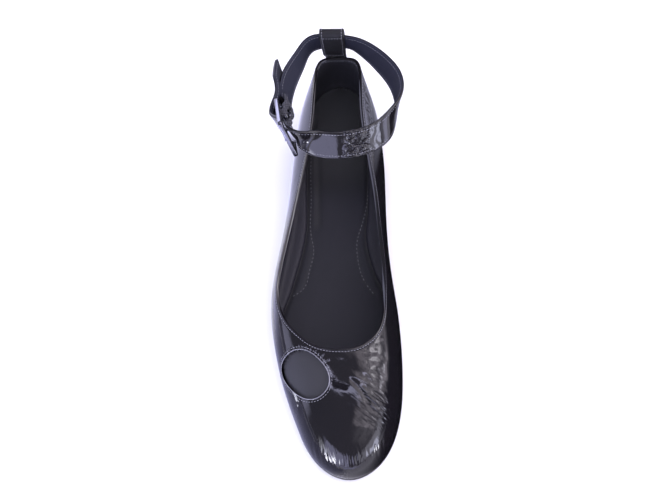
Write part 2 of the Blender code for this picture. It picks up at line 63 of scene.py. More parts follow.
# soft boxes of light in the world, in degrees: bearing from +X and height, half width and half height,
# blur of the edge and roll; one without a colour is a dark spot that hides what lies behind it
softBoxes = (
    {"at": (16, 48), "half": (30, 36), "blur": 3.0, "colour": (1.35, 1.22, 1.38), "cloudy": True},
    {"at": (-8, 40), "half": (32, 28), "blur": 14.0, "colour": (1.0, 0.95, 1.08), "cloudy": True},
    {"at": (13, 42), "half": (6, 5), "blur": 3.0, "colour": (5.0, 4.9, 5.2), "cloudy": True},
    {"at": (4, 27), "half": (6, 5), "blur": 3.0, "colour": (4.4, 4.4, 5.0), "cloudy": True},
    {"at": (14, 60), "half": (8, 3), "blur": 2.0, "colour": (1.6, 1.5, 1.5), "cloudy": True},
    {"at": (-39, 13), "half": (24, 11), "blur": 2.5, "colour": (2.4, 2.4, 2.9)},
    {"at": (-113, 12), "half": (24, 19), "blur": 2.5, "colour": (3.0, 3.0, 4.6)},
    {"at": (-36, 5), "half": (9, 6), "blur": 2.5, "colour": (6.0, 6.2, 8.0)},
    {"at": (-90, 85.8), "half": (21, 4.2), "blur": 0.8, "roll": -12, "colour": (5.0, 5.0, 7.0)},
    {"at": (168, 9), "half": (27, 16), "blur": 5.0, "colour": (2.3, 2.3, 3.3)},
    {"at": (-132, 4), "half": (13, 9), "blur": 4.0, "colour": (6.5, 6.6, 7.6)},
    {"at": (120, 13), "half": (15, 11), "blur": 3.0, "colour": (4.0, 4.0, 5.4)},
    {"at": (-167, 81.7), "half": (2.2, 4.6), "blur": 0.8, "colour": None},
)
# cards seen only in the shoe's reflections: place, size, turn in degrees and glow
cards = {
    "blackCard": ((0.088, -0.045, 0.022), (0.046, 0.19), (0, -80, 0), None),
    "blackFloor": ((0.097, -0.018, 0.0015), (0.20, 0.30), (0, 0, 0), None),
    "counterNear": ((0.045, 0.135, 0.0018), (0.11, 0.10), (0, 0, 0), (0.5, 0.5, 0.66)),
    "counterFloor": ((0.150, 0.160, 0.0015), (0.14, 0.10), (0, 0, 0), (2.1, 2.1, 2.9)),
    "quarterFloor": ((-0.080, 0.098, 0.0015), (0.13, 0.13), (0, 0, 0), (1.4, 1.4, 2.0)),
    "archFloor": ((-0.092, -0.004, 0.0015), (0.08, 0.10), (0, 0, 0), (1.5, 1.5, 2.2)),
    "toeFloor": ((-0.062, -0.118, 0.0018), (0.14, 0.19), (0, 0, 0), (0.50, 0.50, 0.80)),
    "frontFloor": ((-0.080, -0.42, 0.0015), (0.44, 0.34), (0, 0, 0), (2.6, 2.6, 4.2)),
    "sideFloor": ((0.42, -0.06, 0.0015), (0.40, 0.24), (0, 0, 0), (3.4, 3.4, 4.6)),
    "vampGlint": ((-0.080, -0.0910, 0.003), (0.030, 0.012), (0, 0, 8), (9.0, 9.2, 11.0)),
    "farFloor": ((-0.42, -0.15, 0.0012), (0.66, 0.60), (0, 0, 0), (0.45, 0.45, 0.70)),
    "leftGlint": ((-0.070, -0.208, 0.016), (0.034, 0.034), (90, 0, -38), (30.0, 30.0, 34.0)),
    "rightGlint": ((0.118, -0.176, 0.012), (0.018, 0.026), (90, 0, 57), (26.0, 26.0, 29.0)),
}


def makeCamera():
    camera = bpy.data.objects.new("camera", bpy.data.cameras.new("camera"))
    camera.data.lens = cameraSettings["lens"]
    camera.data.sensor_width = cameraSettings["sensor"]
    camera.data.clip_start, camera.data.clip_end = cameraSettings["clip"]
    tilt = Matrix.Rotation(math.radians(cameraSettings["tilt"]), 4, "X")
    turn = Matrix.Rotation(math.radians(cameraSettings["turn"]), 4, "Y")
    camera.matrix_world = Matrix.Translation(cameraSettings["place"]) @ tilt @ turn
    bpy.context.scene.collection.objects.link(camera)
    bpy.context.scene.camera = camera


def mathNode(tree, operation, first, second=None, third=None):
    node = tree.nodes.new("ShaderNodeMath")
    node.operation = operation
    for socket, value in zip(node.inputs, (first, second, third)):
        if isinstance(value, (int, float)):
            socket.default_value = value
        elif value is not None:
            tree.links.new(value, socket)
    return node.outputs[0]


def vectorNode(tree, operation, first, second=None, scale=None):
    node = tree.nodes.new("ShaderNodeVectorMath")
    node.operation = operation
    for socket, value in zip(node.inputs, (first, second, None, scale)):  # the third isn't used here
        if isinstance(value, bpy.types.NodeSocket):
            tree.links.new(value, socket)
        elif value is not None:
            socket.default_value = value
    return node.outputs["Value" if operation == "DOT_PRODUCT" else "Vector"]


def mapRange(tree, value, low, high, to=(0.0, 1.0), kind="SMOOTHSTEP"):
    node = tree.nodes.new("ShaderNodeMapRange")
    node.interpolation_type = kind
    for label, number in zip(("From Min", "From Max", "To Min", "To Max"), (low, high, *to)):
        node.inputs[label].default_value = number
    tree.links.new(value, node.inputs["Value"])
    return node.outputs["Result"]


def noiseNode(tree, place, scale, detail, roughness, stretch=None):
    if stretch:
        mapping = tree.nodes.new("ShaderNodeMapping")
        mapping.vector_type = "TEXTURE"
        mapping.inputs["Rotation"].default_value = [math.radians(a) for a in stretch[0]]
        mapping.inputs["Scale"].default_value = stretch[1]
        tree.links.new(place, mapping.inputs["Vector"])
        place = mapping.outputs["Vector"]
    noise = tree.nodes.new("ShaderNodeTexNoise")
    tree.links.new(place, noise.inputs["Vector"])
    for label, value in (("Scale", scale), ("Detail", detail), ("Roughness", roughness)):
        noise.inputs[label].default_value = value
    return noise.outputs["Fac"]


def makeWorld():
    world = bpy.data.worlds.new("studio")
    world.use_nodes = True
    bpy.context.scene.world = world
    tree = world.node_tree
    tree.nodes.clear()
    new, link = tree.nodes.new, tree.links.new
    way = new("ShaderNodeTexCoord").outputs["Generated"]
    glow = new("ShaderNodeRGB")
    glow.outputs[0].default_value = (*studio["sky"], 1)
    total = glow.outputs[0]
    scale, *mottle = studio["mottle"]
    cloud = mapRange(tree, noiseNode(tree, way, scale, 3.0, 0.55), 0.35, 0.65, mottle, "LINEAR")
    for box in softBoxes:
        bearing, height = (math.radians(a) for a in box["at"])
        flat = math.cos(height)
        toward = Vector((flat * math.cos(bearing), flat * math.sin(bearing), math.sin(height)))
        across = Vector((-math.sin(bearing), math.cos(bearing), 0))
        across.rotate(Matrix.Rotation(math.radians(box.get("roll", 0)), 3, toward))
        ahead = vectorNode(tree, "DOT_PRODUCT", way, toward)
        mask = mathNode(tree, "GREATER_THAN", ahead, 0.0)
        for axis, half in zip((across, toward.cross(across)), box["half"]):
            slope = mathNode(tree, "DIVIDE", vectorNode(tree, "DOT_PRODUCT", way, axis), ahead)
            outer, inner = half + box["blur"], max(0.1, half - box["blur"])
            edges = math.tan(math.radians(outer)), math.tan(math.radians(inner))
            mask = mathNode(tree, "MULTIPLY", mask, mapRange(tree, mathNode(tree, "ABSOLUTE", slope), *edges))
        if box["colour"] is None:
            total = vectorNode(tree, "SCALE", total, scale=mathNode(tree, "SUBTRACT", 1.0, mask))
            continue
        if box.get("cloudy"):
            mask = mathNode(tree, "MULTIPLY", mask, cloud)
        total = vectorNode(tree, "ADD", total, vectorNode(tree, "SCALE", box["colour"], scale=mask))
    light, plain = new("ShaderNodeBackground"), new("ShaderNodeBackground")
    link(total, light.inputs["Color"])
    plain.inputs["Color"].default_value = (*studio["backdrop"], 1)
    pick = new("ShaderNodeMixShader")
    link(new("ShaderNodeLightPath").outputs["Is Camera Ray"], pick.inputs["Fac"])
    link(light.outputs["Background"], pick.inputs[1])
    link(plain.outputs["Background"], pick.inputs[2])
    link(pick.outputs["Shader"], new("ShaderNodeOutputWorld").inputs["Surface"])


def makeLamp(name, place, size, power):
    lamp = bpy.data.objects.new(name, bpy.data.lights.new(name, "AREA"))
    lamp.data.shape = "RECTANGLE"
    lamp.data.size, lamp.data.size_y = size
    lamp.data.energy = power
    lamp.location = place
    lamp.rotation_euler = (Vector(studio["lampTarget"]) - Vector(place)).to_track_quat("-Z", "Y").to_euler()
    lamp.visible_glossy = lamp.visible_camera = False
    bpy.context.scene.collection.objects.link(lamp)


def dullMaterial(name, colour):
    material = bpy.data.materials.new(name)
    material.use_nodes = True
    shader = material.node_tree.nodes["Principled BSDF"]
    shader.inputs["Base Color"].default_value = (*colour, 1)
    shader.inputs["Roughness"].default_value = 1.0
    shader.inputs["Specular IOR Level"].default_value = 0.0
    return material


def makeFloor():
    bpy.ops.mesh.primitive_plane_add(size=studio["floorSize"], location=(0, 0, 0))
    floor = bpy.context.object
    floor.name = "floor"
    floor.data.materials.append(dullMaterial("paleFloor", studio["floor"]))


def makeCard(name, place, size, turn, glow):
    bpy.ops.mesh.primitive_plane_add(size=1.0, location=place, rotation=[math.radians(a) for a in turn])
    card = bpy.context.object
    card.name = name
    card.scale = (*size, 1)
    card.visible_camera = card.visible_diffuse = card.visible_shadow = card.visible_transmission = False
    material = dullMaterial(name, (0.0, 0.0, 0.0))
    tree = material.node_tree
    shader = tree.nodes["Principled BSDF"]
    split = tree.nodes.new("ShaderNodeSeparateXYZ")
    tree.links.new(tree.nodes.new("ShaderNodeTexCoord").outputs["Object"], split.inputs[0])
    whole, gone = studio["cardFade"]
    fades = [mapRange(tree, mathNode(tree, "ABSOLUTE", side), gone, whole) for side in split.outputs[:2]]
    tree.links.new(mathNode(tree, "MULTIPLY", *fades), shader.inputs["Alpha"])
    if glow:
        strength = max(glow)
        shader.inputs["Emission Color"].default_value = (*(part / strength for part in glow), 1)
        shader.inputs["Emission Strength"].default_value = strength
    card.data.materials.append(material)


makeCamera()
makeWorld()
for lampName, lampValues in studio["lamps"].items():
    makeLamp(lampName, *lampValues)
makeFloor()
for cardName, cardValues in cards.items():
    makeCard(cardName, *cardValues)
bpy.context.scene.view_settings.view_transform = "Standard"
print("camera, light and floor made")

# the last: the same section tables as the frame's source, in millimetres

lastShape = {
    "soleThickness": 3.2, "heelHeight": 9.0, "toeSpring": 5.5, "seatGap": 0.42,
    "treadFront": -88.0, "treadRear": -38.0, "toe": -129.6, "heelSeat": 68.0,
    # widest line: y, lateral x, medial x; topline: y, lateral x, medial x, z
    "sections": {
        "heelBack": (126.8, 0.8, 0.8, 122.9, 2.0, 2.0, 57.6),
        "heelCorner": (121.8, -11.0, 12.6, 121.4, -8.8, 12.4, 57.5),
        "heelSide": (108.5, -19.8, 21.6, 111.0, -13.2, 15.9, 56.8),
        "counter": (90.0, -24.8, 26.6, 92.0, -14.0, 16.4, 54.0),
        "quarter": (68.0, -26.9, 29.2, 68.0, -16.4, 19.4, 49.5),
        "waist": (44.0, -28.6, 30.2, 42.0, -21.8, 24.4, 45.0),
        "arch": (17.0, -32.1, 31.6, 14.0, -28.0, 28.0, 41.8),
        "ballRear": (-8.0, -36.8, 34.5, -8.0, -32.5, 30.4, 39.6),
        "ball": (-28.0, -38.4, 37.9, -25.0, -33.8, 30.6, 38.6),
        "throatSide": (-50.0, -35.8, 40.2, -39.0, -29.6, 29.7, 39.3),
        "throatCorner": (-73.0, -30.5, 41.0, -49.2, -21.2, 26.0, 41.0),
        "toeSide": (-97.0, -22.0, 38.6, -56.4, -12.5, 19.0, 42.9),
        "toeCorner": (-119.2, -9.8, 28.6, -59.6, -4.2, 12.0, 43.9),
        "toeTip": (-129.6, 10.0, 10.0, -60.4, 4.0, 4.0, 44.2),
    },
    # tuck, hip, shoulder out and up, crown out and up
    "walls": {
        "heelBack": (1.6, 9.0, 1.12, 0.58, 0.62, 0.86),
        "counter": (2.0, 9.0, 0.86, 0.56, 0.36, 0.84),
        "waist": (3.8, 10.0, 0.98, 0.60, 0.48, 0.84),
        "ball": (2.4, 9.0, 0.95, 0.58, 0.50, 0.84),
        "throatCorner": (2.0, 8.0, 0.92, 0.62, 0.50, 0.90),
        "toeTip": (1.6, 7.0, 0.88, 0.64, 0.46, 0.93),
    },
}


def splineThrough(knots, values, at, closed=False):
    knots, values, at = np.asarray(knots), np.asarray(values, float), np.asarray(at)
    count = len(knots)
    step = np.diff(knots)
    slope = np.diff(values, axis=0) / step[:, None]
    matrix, right = np.eye(count), np.zeros_like(values)
    for i in range(1, count - 1):
        matrix[i, i - 1 : i + 2] = step[i - 1], 2 * (step[i - 1] + step[i]), step[i]
        right[i] = 6 * (slope[i] - slope[i - 1])
    if closed:
        matrix[0, [0, 1, count - 2]] = 2 * (step[0] + step[-1]), step[0], step[-1]
        right[0] = 6 * (slope[0] - slope[-1])
        matrix[-1, 0] = -1
    bend = np.linalg.solve(matrix, right)
    i = np.clip(np.searchsorted(knots, at, side="right") - 1, 0, count - 2)
    h = step[i][:, None]
    a, b = (knots[i + 1] - at)[:, None], (at - knots[i])[:, None]
    cubic = (bend[i] * a**3 + bend[i + 1] * b**3) / (6 * h)
    return cubic + (values[i] / h - bend[i] * h / 6) * a + (values[i + 1] / h - bend[i + 1] * h / 6) * b


def lengthsAlong(points):
    steps = np.linalg.norm(np.diff(np.asarray(points, float), axis=0), axis=1)
    return np.concatenate(([0.0], np.cumsum(steps)))


def denseLine(line, count):
    run = lengthsAlong(line)
    return splineThrough(run, line, np.linspace(0, run[-1], count))


def unit(vectors):
    return vectors / np.linalg.norm(vectors, axis=-1, keepdims=True)


def waysAlong(points, closed=False):
    if closed:
        return np.roll(points, -1, axis=0) - np.roll(points, 1, axis=0)
    return np.gradient(points, axis=0)


def soleBottom(y):
    toe = np.clip((lastShape["treadFront"] - y) / (lastShape["treadFront"] - lastShape["toe"]), 0, None)
    rise = np.clip((y - lastShape["treadRear"]) / (lastShape["heelSeat"] - lastShape["treadRear"]), 0, 1)
    return lastShape["toeSpring"] * toe**2 + lastShape["heelHeight"] * rise**2 * (3 - 2 * rise)


def soleTop(y):
    return soleBottom(y) + lastShape["soleThickness"]


def lastRows(share):
    names = list(lastShape["sections"])
    place = {name: i for i, name in enumerate(names)}
    walls = lastShape["walls"]
    wall = splineThrough([place[n] for n in walls], list(walls.values()), np.arange(len(names)))
    rows = []
    for side, order in ((1, names), (2, names[-2:0:-1])):
        for name in order:
            s = lastShape["sections"][name]
            rows.append((s[side], s[0], s[3 + side], s[3], s[6], *wall[place[name]]))
    rows = np.array(rows + rows[:1])
    knots = lengthsAlong((rows[:, 0:2] + rows[:, 2:4]) / 2)
    return splineThrough(knots, rows, np.asarray(share) % 1.0 * knots[-1], closed=True)


def splineWeights(count, at):
    knots = np.concatenate(([0.0] * 3, np.linspace(0, 1, count - 2), [1.0] * 3))
    at = np.minimum(at, 1 - 1e-9)
    weights = [((at >= knots[i]) & (at < knots[i + 1])).astype(float) for i in range(len(knots) - 1)]
    for degree in (1, 2, 3):
        raised = []
        for i in range(len(weights) - 1):
            left, right = knots[i + degree] - knots[i], knots[i + degree + 1] - knots[i + 1]
            rise = (at - knots[i]) / left * weights[i] if left else 0 * at
            fall = (knots[i + degree + 1] - at) / right * weights[i + 1] if right else 0 * at
            raised.append(rise + fall)
        weights = raised
    return np.stack(weights, axis=-1)


def wallFace(rows, up):
    wide, top, topZ = rows[:, 0:2], rows[:, 2:4], rows[:, 4]
    tuck, hip, shoulderOut, shoulderUp, crownOut, crownUp = rows[:, 5:11].T
    reach = np.linalg.norm(wide - top, axis=1)
    outward = (wide - top) / reach[:, None]
    base = soleTop(wide[:, 1]) + lastShape["seatGap"]
    tall = topZ - base
    # six control points from the feather line up to the topline: how far out, and how high
    out = (reach - tuck, reach + 0.2, reach + 0.6, reach * shoulderOut, reach * crownOut, 0 * reach)
    rise = (base, base + 0.3 * hip, base + hip, base + tall * shoulderUp, base + tall * crownUp, topZ)
    weights = splineWeights(len(out), up)
    plan = top + outward * np.einsum("...uk,ku->...u", weights, np.stack(out))[..., None]
    return np.concatenate((plan, np.einsum("...uk,ku->...u", weights, np.stack(rise))[..., None]), axis=-1)


def heightsAt(rows, distances, fractions):
    steps = np.linspace(0, 1, 241)
    face = wallFace(rows, np.repeat(steps[:, None], len(rows), axis=1))
    run = np.linalg.norm(np.diff(face, axis=0), axis=2).cumsum(axis=0)
    run = np.concatenate((np.zeros((1, len(rows))), run))
    ups = []
    for j in range(len(rows)):
        whole = run[-1, j]
        near = whole - np.asarray(distances)
        far = near.min() * np.asarray(fractions)
        ups.append(np.interp(np.concatenate((far, near[::-1])), run[:, j], steps))
    return np.array(ups).T


def featherLine(rows, inset):
    wide, top = rows[:, 0:2], rows[:, 2:4]
    feather = wide - unit(wide - top) * rows[:, 5:6]
    ahead = waysAlong(feather, closed=True)
    return feather - unit(np.column_stack((ahead[:, 1], -ahead[:, 0]))) * inset


def faceNormals(face):
    around = np.roll(face, -1, axis=1) - np.roll(face, 1, axis=1)
    normal = np.cross(around, np.gradient(face, axis=0))
    return normal / np.maximum(np.linalg.norm(normal, axis=2, keepdims=True), 1e-9)


# helpers that turn grids, rings and lines into pieces

def gridMesh(points, closedAcross=False, closedAlong=False):
    points = np.asarray(points)
    if closedAcross:
        points = np.concatenate((points, points[:, :1]), axis=1)
    if closedAlong:
        points = np.concatenate((points, points[:1]), axis=0)
    rows, columns = points.shape[:2]
    bm = bmesh.new()
    bm.loops.layers.uv.new("UVMap")
    bmesh.ops.create_grid(bm, x_segments=columns - 1, y_segments=rows - 1, size=1, calc_uvs=True)
    for v in bm.verts:
        c, r = round((v.co.x + 1) / 2 * (columns - 1)), round((v.co.y + 1) / 2 * (rows - 1))
        v.co = (points[r, c] - middle) * mm
    bmesh.ops.remove_doubles(bm, verts=bm.verts, dist=1e-7)
    return bm


def closeEnds(bm):
    edges = [e for e in bm.edges if e.is_boundary]
    bmesh.ops.holes_fill(bm, edges=edges, sides=0)


def shadeMesh(mesh, smooth):
    # smooth all over, or sharp past that many degrees
    mesh.shade_smooth()
    if smooth:
        mesh.set_sharp_from_angle(angle=math.radians(smooth))


def finishMesh(bm, name, looksOn, smooth=35):
    bmesh.ops.recalc_face_normals(bm, faces=bm.faces)
    mesh = bpy.data.meshes.new(name)
    bm.to_mesh(mesh)
    bm.free()
    for look in looksOn:
        mesh.materials.append(materials[look])
    shadeMesh(mesh, smooth)
    piece = bpy.data.objects.new(name, mesh)
    bpy.context.scene.collection.objects.link(piece)
    return piece


def paintShade(bm, rule):
    layer = bm.verts.layers.float.new("shade")
    for v in bm.verts:
        v[layer] = rule(v.co.x / mm + middle[0], v.co.y / mm + middle[1], v.co.z / mm)


def insideShade(y):
    # painted shade, growing towards the heel and under the vamp
    rise = min(1.0, max(0.0, (y - 46.0) / 30.0, (-48.0 - y) / 14.0))
    return 0.92 * rise * rise * (3 - 2 * rise)


def addModifier(piece, kind, **values):
    modifier = piece.modifiers.new(kind.lower(), kind)
    for label, value in values.items():
        setattr(modifier, label, value)


def addBevel(piece, width, segments, limit):
    angle = math.radians(limit)
    addModifier(piece, "BEVEL", width=width * mm, segments=segments, limit_method="ANGLE", angle_limit=angle)


def applyModifiers(piece, smooth):
    graph = bpy.context.evaluated_depsgraph_get()
    mesh = bpy.data.meshes.new_from_object(piece.evaluated_get(graph))
    piece.modifiers.clear()
    old, piece.data = piece.data, mesh
    bpy.data.meshes.remove(old)
    shadeMesh(mesh, smooth)


def cutWith(piece, cutter, smooth):
    addModifier(piece, "BOOLEAN", operation="DIFFERENCE", solver="EXACT", object=cutter)
    applyModifiers(piece, smooth)
    bpy.data.objects.remove(cutter, do_unlink=True)


def addPiece(piece, slotName, *replaced):
    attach(piece, "root")
    if replaced:
        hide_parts(*replaced)
    print("made", piece.name, len(piece.data.polygons), "faces")
    return piece


def tubeAlong(points, radius, sides, normals, closed=False):
    ahead = unit(waysAlong(points, closed))
    side = unit(np.cross(ahead, normals))
    over = np.cross(side, ahead)
    turn = np.linspace(0, 2 * math.pi, sides, endpoint=False)
    ring = side[:, None] * np.cos(turn)[None, :, None] + over[:, None] * np.sin(turn)[None, :, None]
    bm = gridMesh(points[:, None] + ring * radius, closedAcross=True, closedAlong=closed)
    if not closed:
        closeEnds(bm)
    return bm


def alongLine(points, pitch, closed):
    # the line's values at the middle of each stitch
    if closed:
        points = np.concatenate((points, points[:1]))
    run = lengthsAlong(points[:, :3])
    count = max(2, round(run[-1] / pitch))
    at = (np.arange(count) + 0.5) / count * run[-1]
    return np.column_stack([np.interp(at, run, column) for column in points.T])


def addStitches(bm, points, normals, pitch, size, closed=False, sink=0.0):
    length, radius = size
    place, normal = np.split(alongLine(np.column_stack((points, normals)), pitch, closed), 2, axis=1)
    for k, (p, n, a) in enumerate(zip(place, normal, waysAlong(place, closed))):
        n, a = Vector(n).normalized(), Vector(a).normalized()
        turn = Matrix((n.cross(a).normalized(), n, a)).transposed().to_4x4()
        at = Vector((p - middle) * mm) + n * (radius * 0.3 - sink * (1 + math.sin(2.7 * k))) * mm
        scale = Matrix.Diagonal((radius * mm, radius * 0.75 * mm, length / 2 * mm, 1))
        bmesh.ops.create_uvsphere(
            bm, u_segments=6, v_segments=5, radius=1, matrix=Matrix.Translation(at) @ turn @ scale
        )


# shared shader effects, as node groups

def newGroup(name, inputs, outputs):
    group = bpy.data.node_groups.new(name, "ShaderNodeTree")
    for label, kind, value in inputs:
        socket = group.interface.new_socket(label, in_out="INPUT", socket_type=kind)
        if value is not None:
            socket.default_value = value
    for label, kind in outputs:
        group.interface.new_socket(label, in_out="OUTPUT", socket_type=kind)
    return group, group.nodes.new("NodeGroupInput").outputs, group.nodes.new("NodeGroupOutput").inputs


# noise heights: scale, detail, roughness and height in metres
surfaceNoise = {
    "Waves": (55.0, 2.0, 0.45, 0.00035),
    "Peel": (900.0, 1.0, 0.5, 0.000012),
    "Grain": (2600.0, 3.0, 0.6, 0.00003),
}


def makeSurfaceGroup():
    # slow waves, orange peel and fine grain added up, and a patchy mask
    group, given, made = newGroup(
        "surfaceHeights",
        [(label, "NodeSocketFloat", 1.0) for label in surfaceNoise],
        (("Height", "NodeSocketFloat"), ("Patchy", "NodeSocketFloat")),
    )
    place = group.nodes.new("ShaderNodeTexCoord").outputs["Object"]
    total = 0.0
    for label, (scale, detail, roughness, height) in surfaceNoise.items():
        noise = noiseNode(group, place, scale, detail, roughness)
        part = mathNode(group, "MULTIPLY", mathNode(group, "MULTIPLY", noise, given[label]), height)
        total = mathNode(group, "ADD", total, part)
    group.links.new(total, made["Height"])
    group.links.new(noiseNode(group, place, 32.0, 4.0, 0.6), made["Patchy"])
    return group


def makeWeaveGroup():
    # threads that cross over and under each other, read from the band's own millimetres
    group, given, made = newGroup(
        "wovenThreads",
        (("Threads", "NodeSocketFloat", 1.6), ("Depth", "NodeSocketFloat", 0.0001)),
        (("Height", "NodeSocketFloat"), ("Mask", "NodeSocketFloat")),
    )
    across = group.nodes.new("ShaderNodeAttribute")
    across.attribute_name = "bandPlace"
    split = group.nodes.new("ShaderNodeSeparateXYZ")
    group.links.new(across.outputs["Vector"], split.inputs[0])
    counts = [mathNode(group, "MULTIPLY", side, given["Threads"]) for side in split.outputs[:2]]
    u, v = (mathNode(group, "MULTIPLY", count, math.pi) for count in counts)
    over = mathNode(group, "MULTIPLY", mathNode(group, "SINE", u), mathNode(group, "SINE", v))
    ridge = mathNode(group, "ABSOLUTE", mathNode(group, "SINE", mathNode(group, "MULTIPLY", u, 2.0)))
    total = mathNode(group, "ADD", over, mathNode(group, "MULTIPLY", ridge, 0.4))
    group.links.new(mathNode(group, "MULTIPLY", total, given["Depth"]), made["Height"])
    group.links.new(mathNode(group, "MULTIPLY_ADD", total, 0.5, 0.5), made["Mask"])
    return group


surfaceGroup, weaveGroup = makeSurfaceGroup(), makeWeaveGroup()


def mixColours(tree, first, second, factor):
    mix = tree.nodes.new("ShaderNodeMix")
    mix.data_type = "RGBA"
    for label, colour in (("A", first), ("B", second)):
        if isinstance(colour, bpy.types.NodeSocket):
            tree.links.new(colour, mix.inputs[label])
        else:
            mix.inputs[label].default_value = (*colour, 1)
    tree.links.new(factor, mix.inputs["Factor"])
    return mix.outputs["Result"]


def paintedMask(tree, label):
    mask = tree.nodes.new("ShaderNodeAttribute")
    mask.attribute_name = label
    return mask.outputs["Fac"]


def makeMaterial(name, look):
    # one leather-like or metal surface from a dictionary of its values
    material = bpy.data.materials.new(name)
    material.use_nodes = True
    tree = material.node_tree
    shader = tree.nodes["Principled BSDF"]
    link = tree.links.new
    for label in ("Metallic", "Specular IOR Level"):
        if label in look:
            shader.inputs[label].default_value = look[label]
    surface = tree.nodes.new("ShaderNodeGroup")
    surface.node_tree = surfaceGroup
    for label in ("Waves", "Peel", "Grain"):
        surface.inputs[label].default_value = look.get(label, 0.0)
    height, patchy = surface.outputs["Height"], surface.outputs["Patchy"]
    if "weave" in look:
        weave = tree.nodes.new("ShaderNodeGroup")
        weave.node_tree = weaveGroup
        weave.inputs["Threads"].default_value, weave.inputs["Depth"].default_value = look["weave"]
        height = mathNode(tree, "ADD", height, weave.outputs["Height"])
        patchy = weave.outputs["Mask"]
    colour = mixColours(tree, look["colour"], look["patchColour"], patchy)
    # painted shade: where the painted shade mask rises, the colour turns to the look's shade colour
    if "shade" in look:
        colour = mixColours(tree, colour, look["shade"], paintedMask(tree, "shade"))
    link(colour, shader.inputs["Base Color"])
    low, high = look["roughness"]
    link(mathNode(tree, "MULTIPLY_ADD", patchy, high - low, low), shader.inputs["Roughness"])
    creases = look.get("creases", ())
    if creases:
        place = tree.nodes.new("ShaderNodeTexCoord").outputs["Object"]
    for label, turn, size, strength, sharp in creases:
        fine = noiseNode(tree, place, 1.0, 1.0, 0.5, ((0, 0, turn), size))
        if sharp:
            valley = mathNode(tree, "ABSOLUTE", mathNode(tree, "SUBTRACT", fine, 0.5))
            fine = mathNode(tree, "MINIMUM", valley, 0.12)
        fine = mathNode(tree, "MULTIPLY", fine, paintedMask(tree, label))
        height = mathNode(tree, "ADD", height, mathNode(tree, "MULTIPLY", fine, strength))
    bump = tree.nodes.new("ShaderNodeBump")
    bump.inputs["Strength"].default_value = 1.0
    bump.inputs["Distance"].default_value = 1.0
    link(height, bump.inputs["Height"])
    link(bump.outputs["Normal"], shader.inputs["Normal"])
    return material


# each look's two colours, between which it is patchy, its roughness, its noise and, for creases, the painted
# mask, the turn, the size in metres, the strength and whether the creases are sharp
looks = {
    "patent": {
        "colour": (0.004, 0.004, 0.006), "patchColour": (0.008, 0.007, 0.008), "roughness": (0.025, 0.08),
        "Specular IOR Level": 0.38, "Waves": 1.0, "Peel": 1.0,
        "creases": (
            ("clouded", -25, (0.012, 0.008, 0.010), 0.0011, False),
            ("flexed", -32, (0.026, 0.0030, 0.010), 0.0022, True),
            ("flexed", -38, (0.012, 0.0012, 0.005), 0.0006, True),
            ("gathered", 4, (0.0019, 0.018, 0.010), 0.0006, True),
            ("dented", -48, (0.0080, 0.0036, 0.0080), 0.0045, True),
        ),
    },
    "strapPatent": {
        "colour": (0.005, 0.005, 0.007), "patchColour": (0.009, 0.008, 0.009), "roughness": (0.03, 0.08),
        "Specular IOR Level": 0.42, "Waves": 0.1, "Peel": 1.0,
        "creases": (
            ("flexed", 20, (0.0050, 0.0036, 0.0050), 0.0055, True),
            ("flexed", 0, (0.0018, 0.0015, 0.0018), 0.0006, True),
        ),
    },
    # the rim's light grey patches are partly edge paint and partly a painted highlight along the cut-out's
    # edge
    "rimPaintAndHighlight": {
        "colour": (0.02, 0.02, 0.028), "patchColour": (0.26, 0.26, 0.31), "roughness": (0.12, 0.25),
        "Specular IOR Level": 0.8,
    },
    # the lining and the sock carry a shade colour for painted shade inside the shoe
    "lining": {
        "colour": (0.011, 0.011, 0.016), "patchColour": (0.022, 0.021, 0.029), "roughness": (0.5, 0.7),
        "Specular IOR Level": 0.3, "Waves": 0.6, "Grain": 1.0, "shade": (0.022, 0.022, 0.026),
    },
    "sock": {
        "colour": (0.003, 0.004, 0.007), "patchColour": (0.015, 0.014, 0.020), "roughness": (0.45, 0.75),
        "Specular IOR Level": 0.3, "Waves": 1.2, "Grain": 1.0, "shade": (0.018, 0.018, 0.020),
    },
    "strapLining": {
        "colour": (0.005, 0.006, 0.012), "patchColour": (0.015, 0.016, 0.033), "roughness": (0.5, 0.7),
        "Specular IOR Level": 0.3, "Waves": 0.8, "Grain": 2.0,
    },
    "rubber": {
        "colour": (0.012, 0.012, 0.014), "patchColour": (0.022, 0.021, 0.021), "roughness": (0.55, 0.8),
        "Grain": 1.0,
    },
    "tab": {
        "colour": (0.003, 0.003, 0.004), "patchColour": (0.009, 0.009, 0.011), "roughness": (0.38, 0.6),
        "Specular IOR Level": 0.28, "Waves": 0.4, "Grain": 2.0,
    },
    "web": {
        "colour": (0.005, 0.005, 0.007), "patchColour": (0.065, 0.065, 0.085), "roughness": (0.5, 0.7),
        "weave": (1.0, 0.0003),
    },
    "nickel": {
        "colour": (0.13, 0.13, 0.155), "patchColour": (0.18, 0.18, 0.21), "roughness": (0.10, 0.2),
        "Metallic": 1.0, "Peel": 0.5,
    },
    "thread": {"colour": (0.15, 0.15, 0.18), "patchColour": (0.24, 0.24, 0.28), "roughness": (0.3, 0.45)},
    "sockThread": {"colour": (0.02, 0.02, 0.025), "patchColour": (0.13, 0.13, 0.15), "roughness": (0.4, 0.6)},
}
materials = {name: makeMaterial(name, look) for name, look in looks.items()}
print("materials made", len(materials))

# the upper: patent outside, lining inside, creased vamp, gathered toe

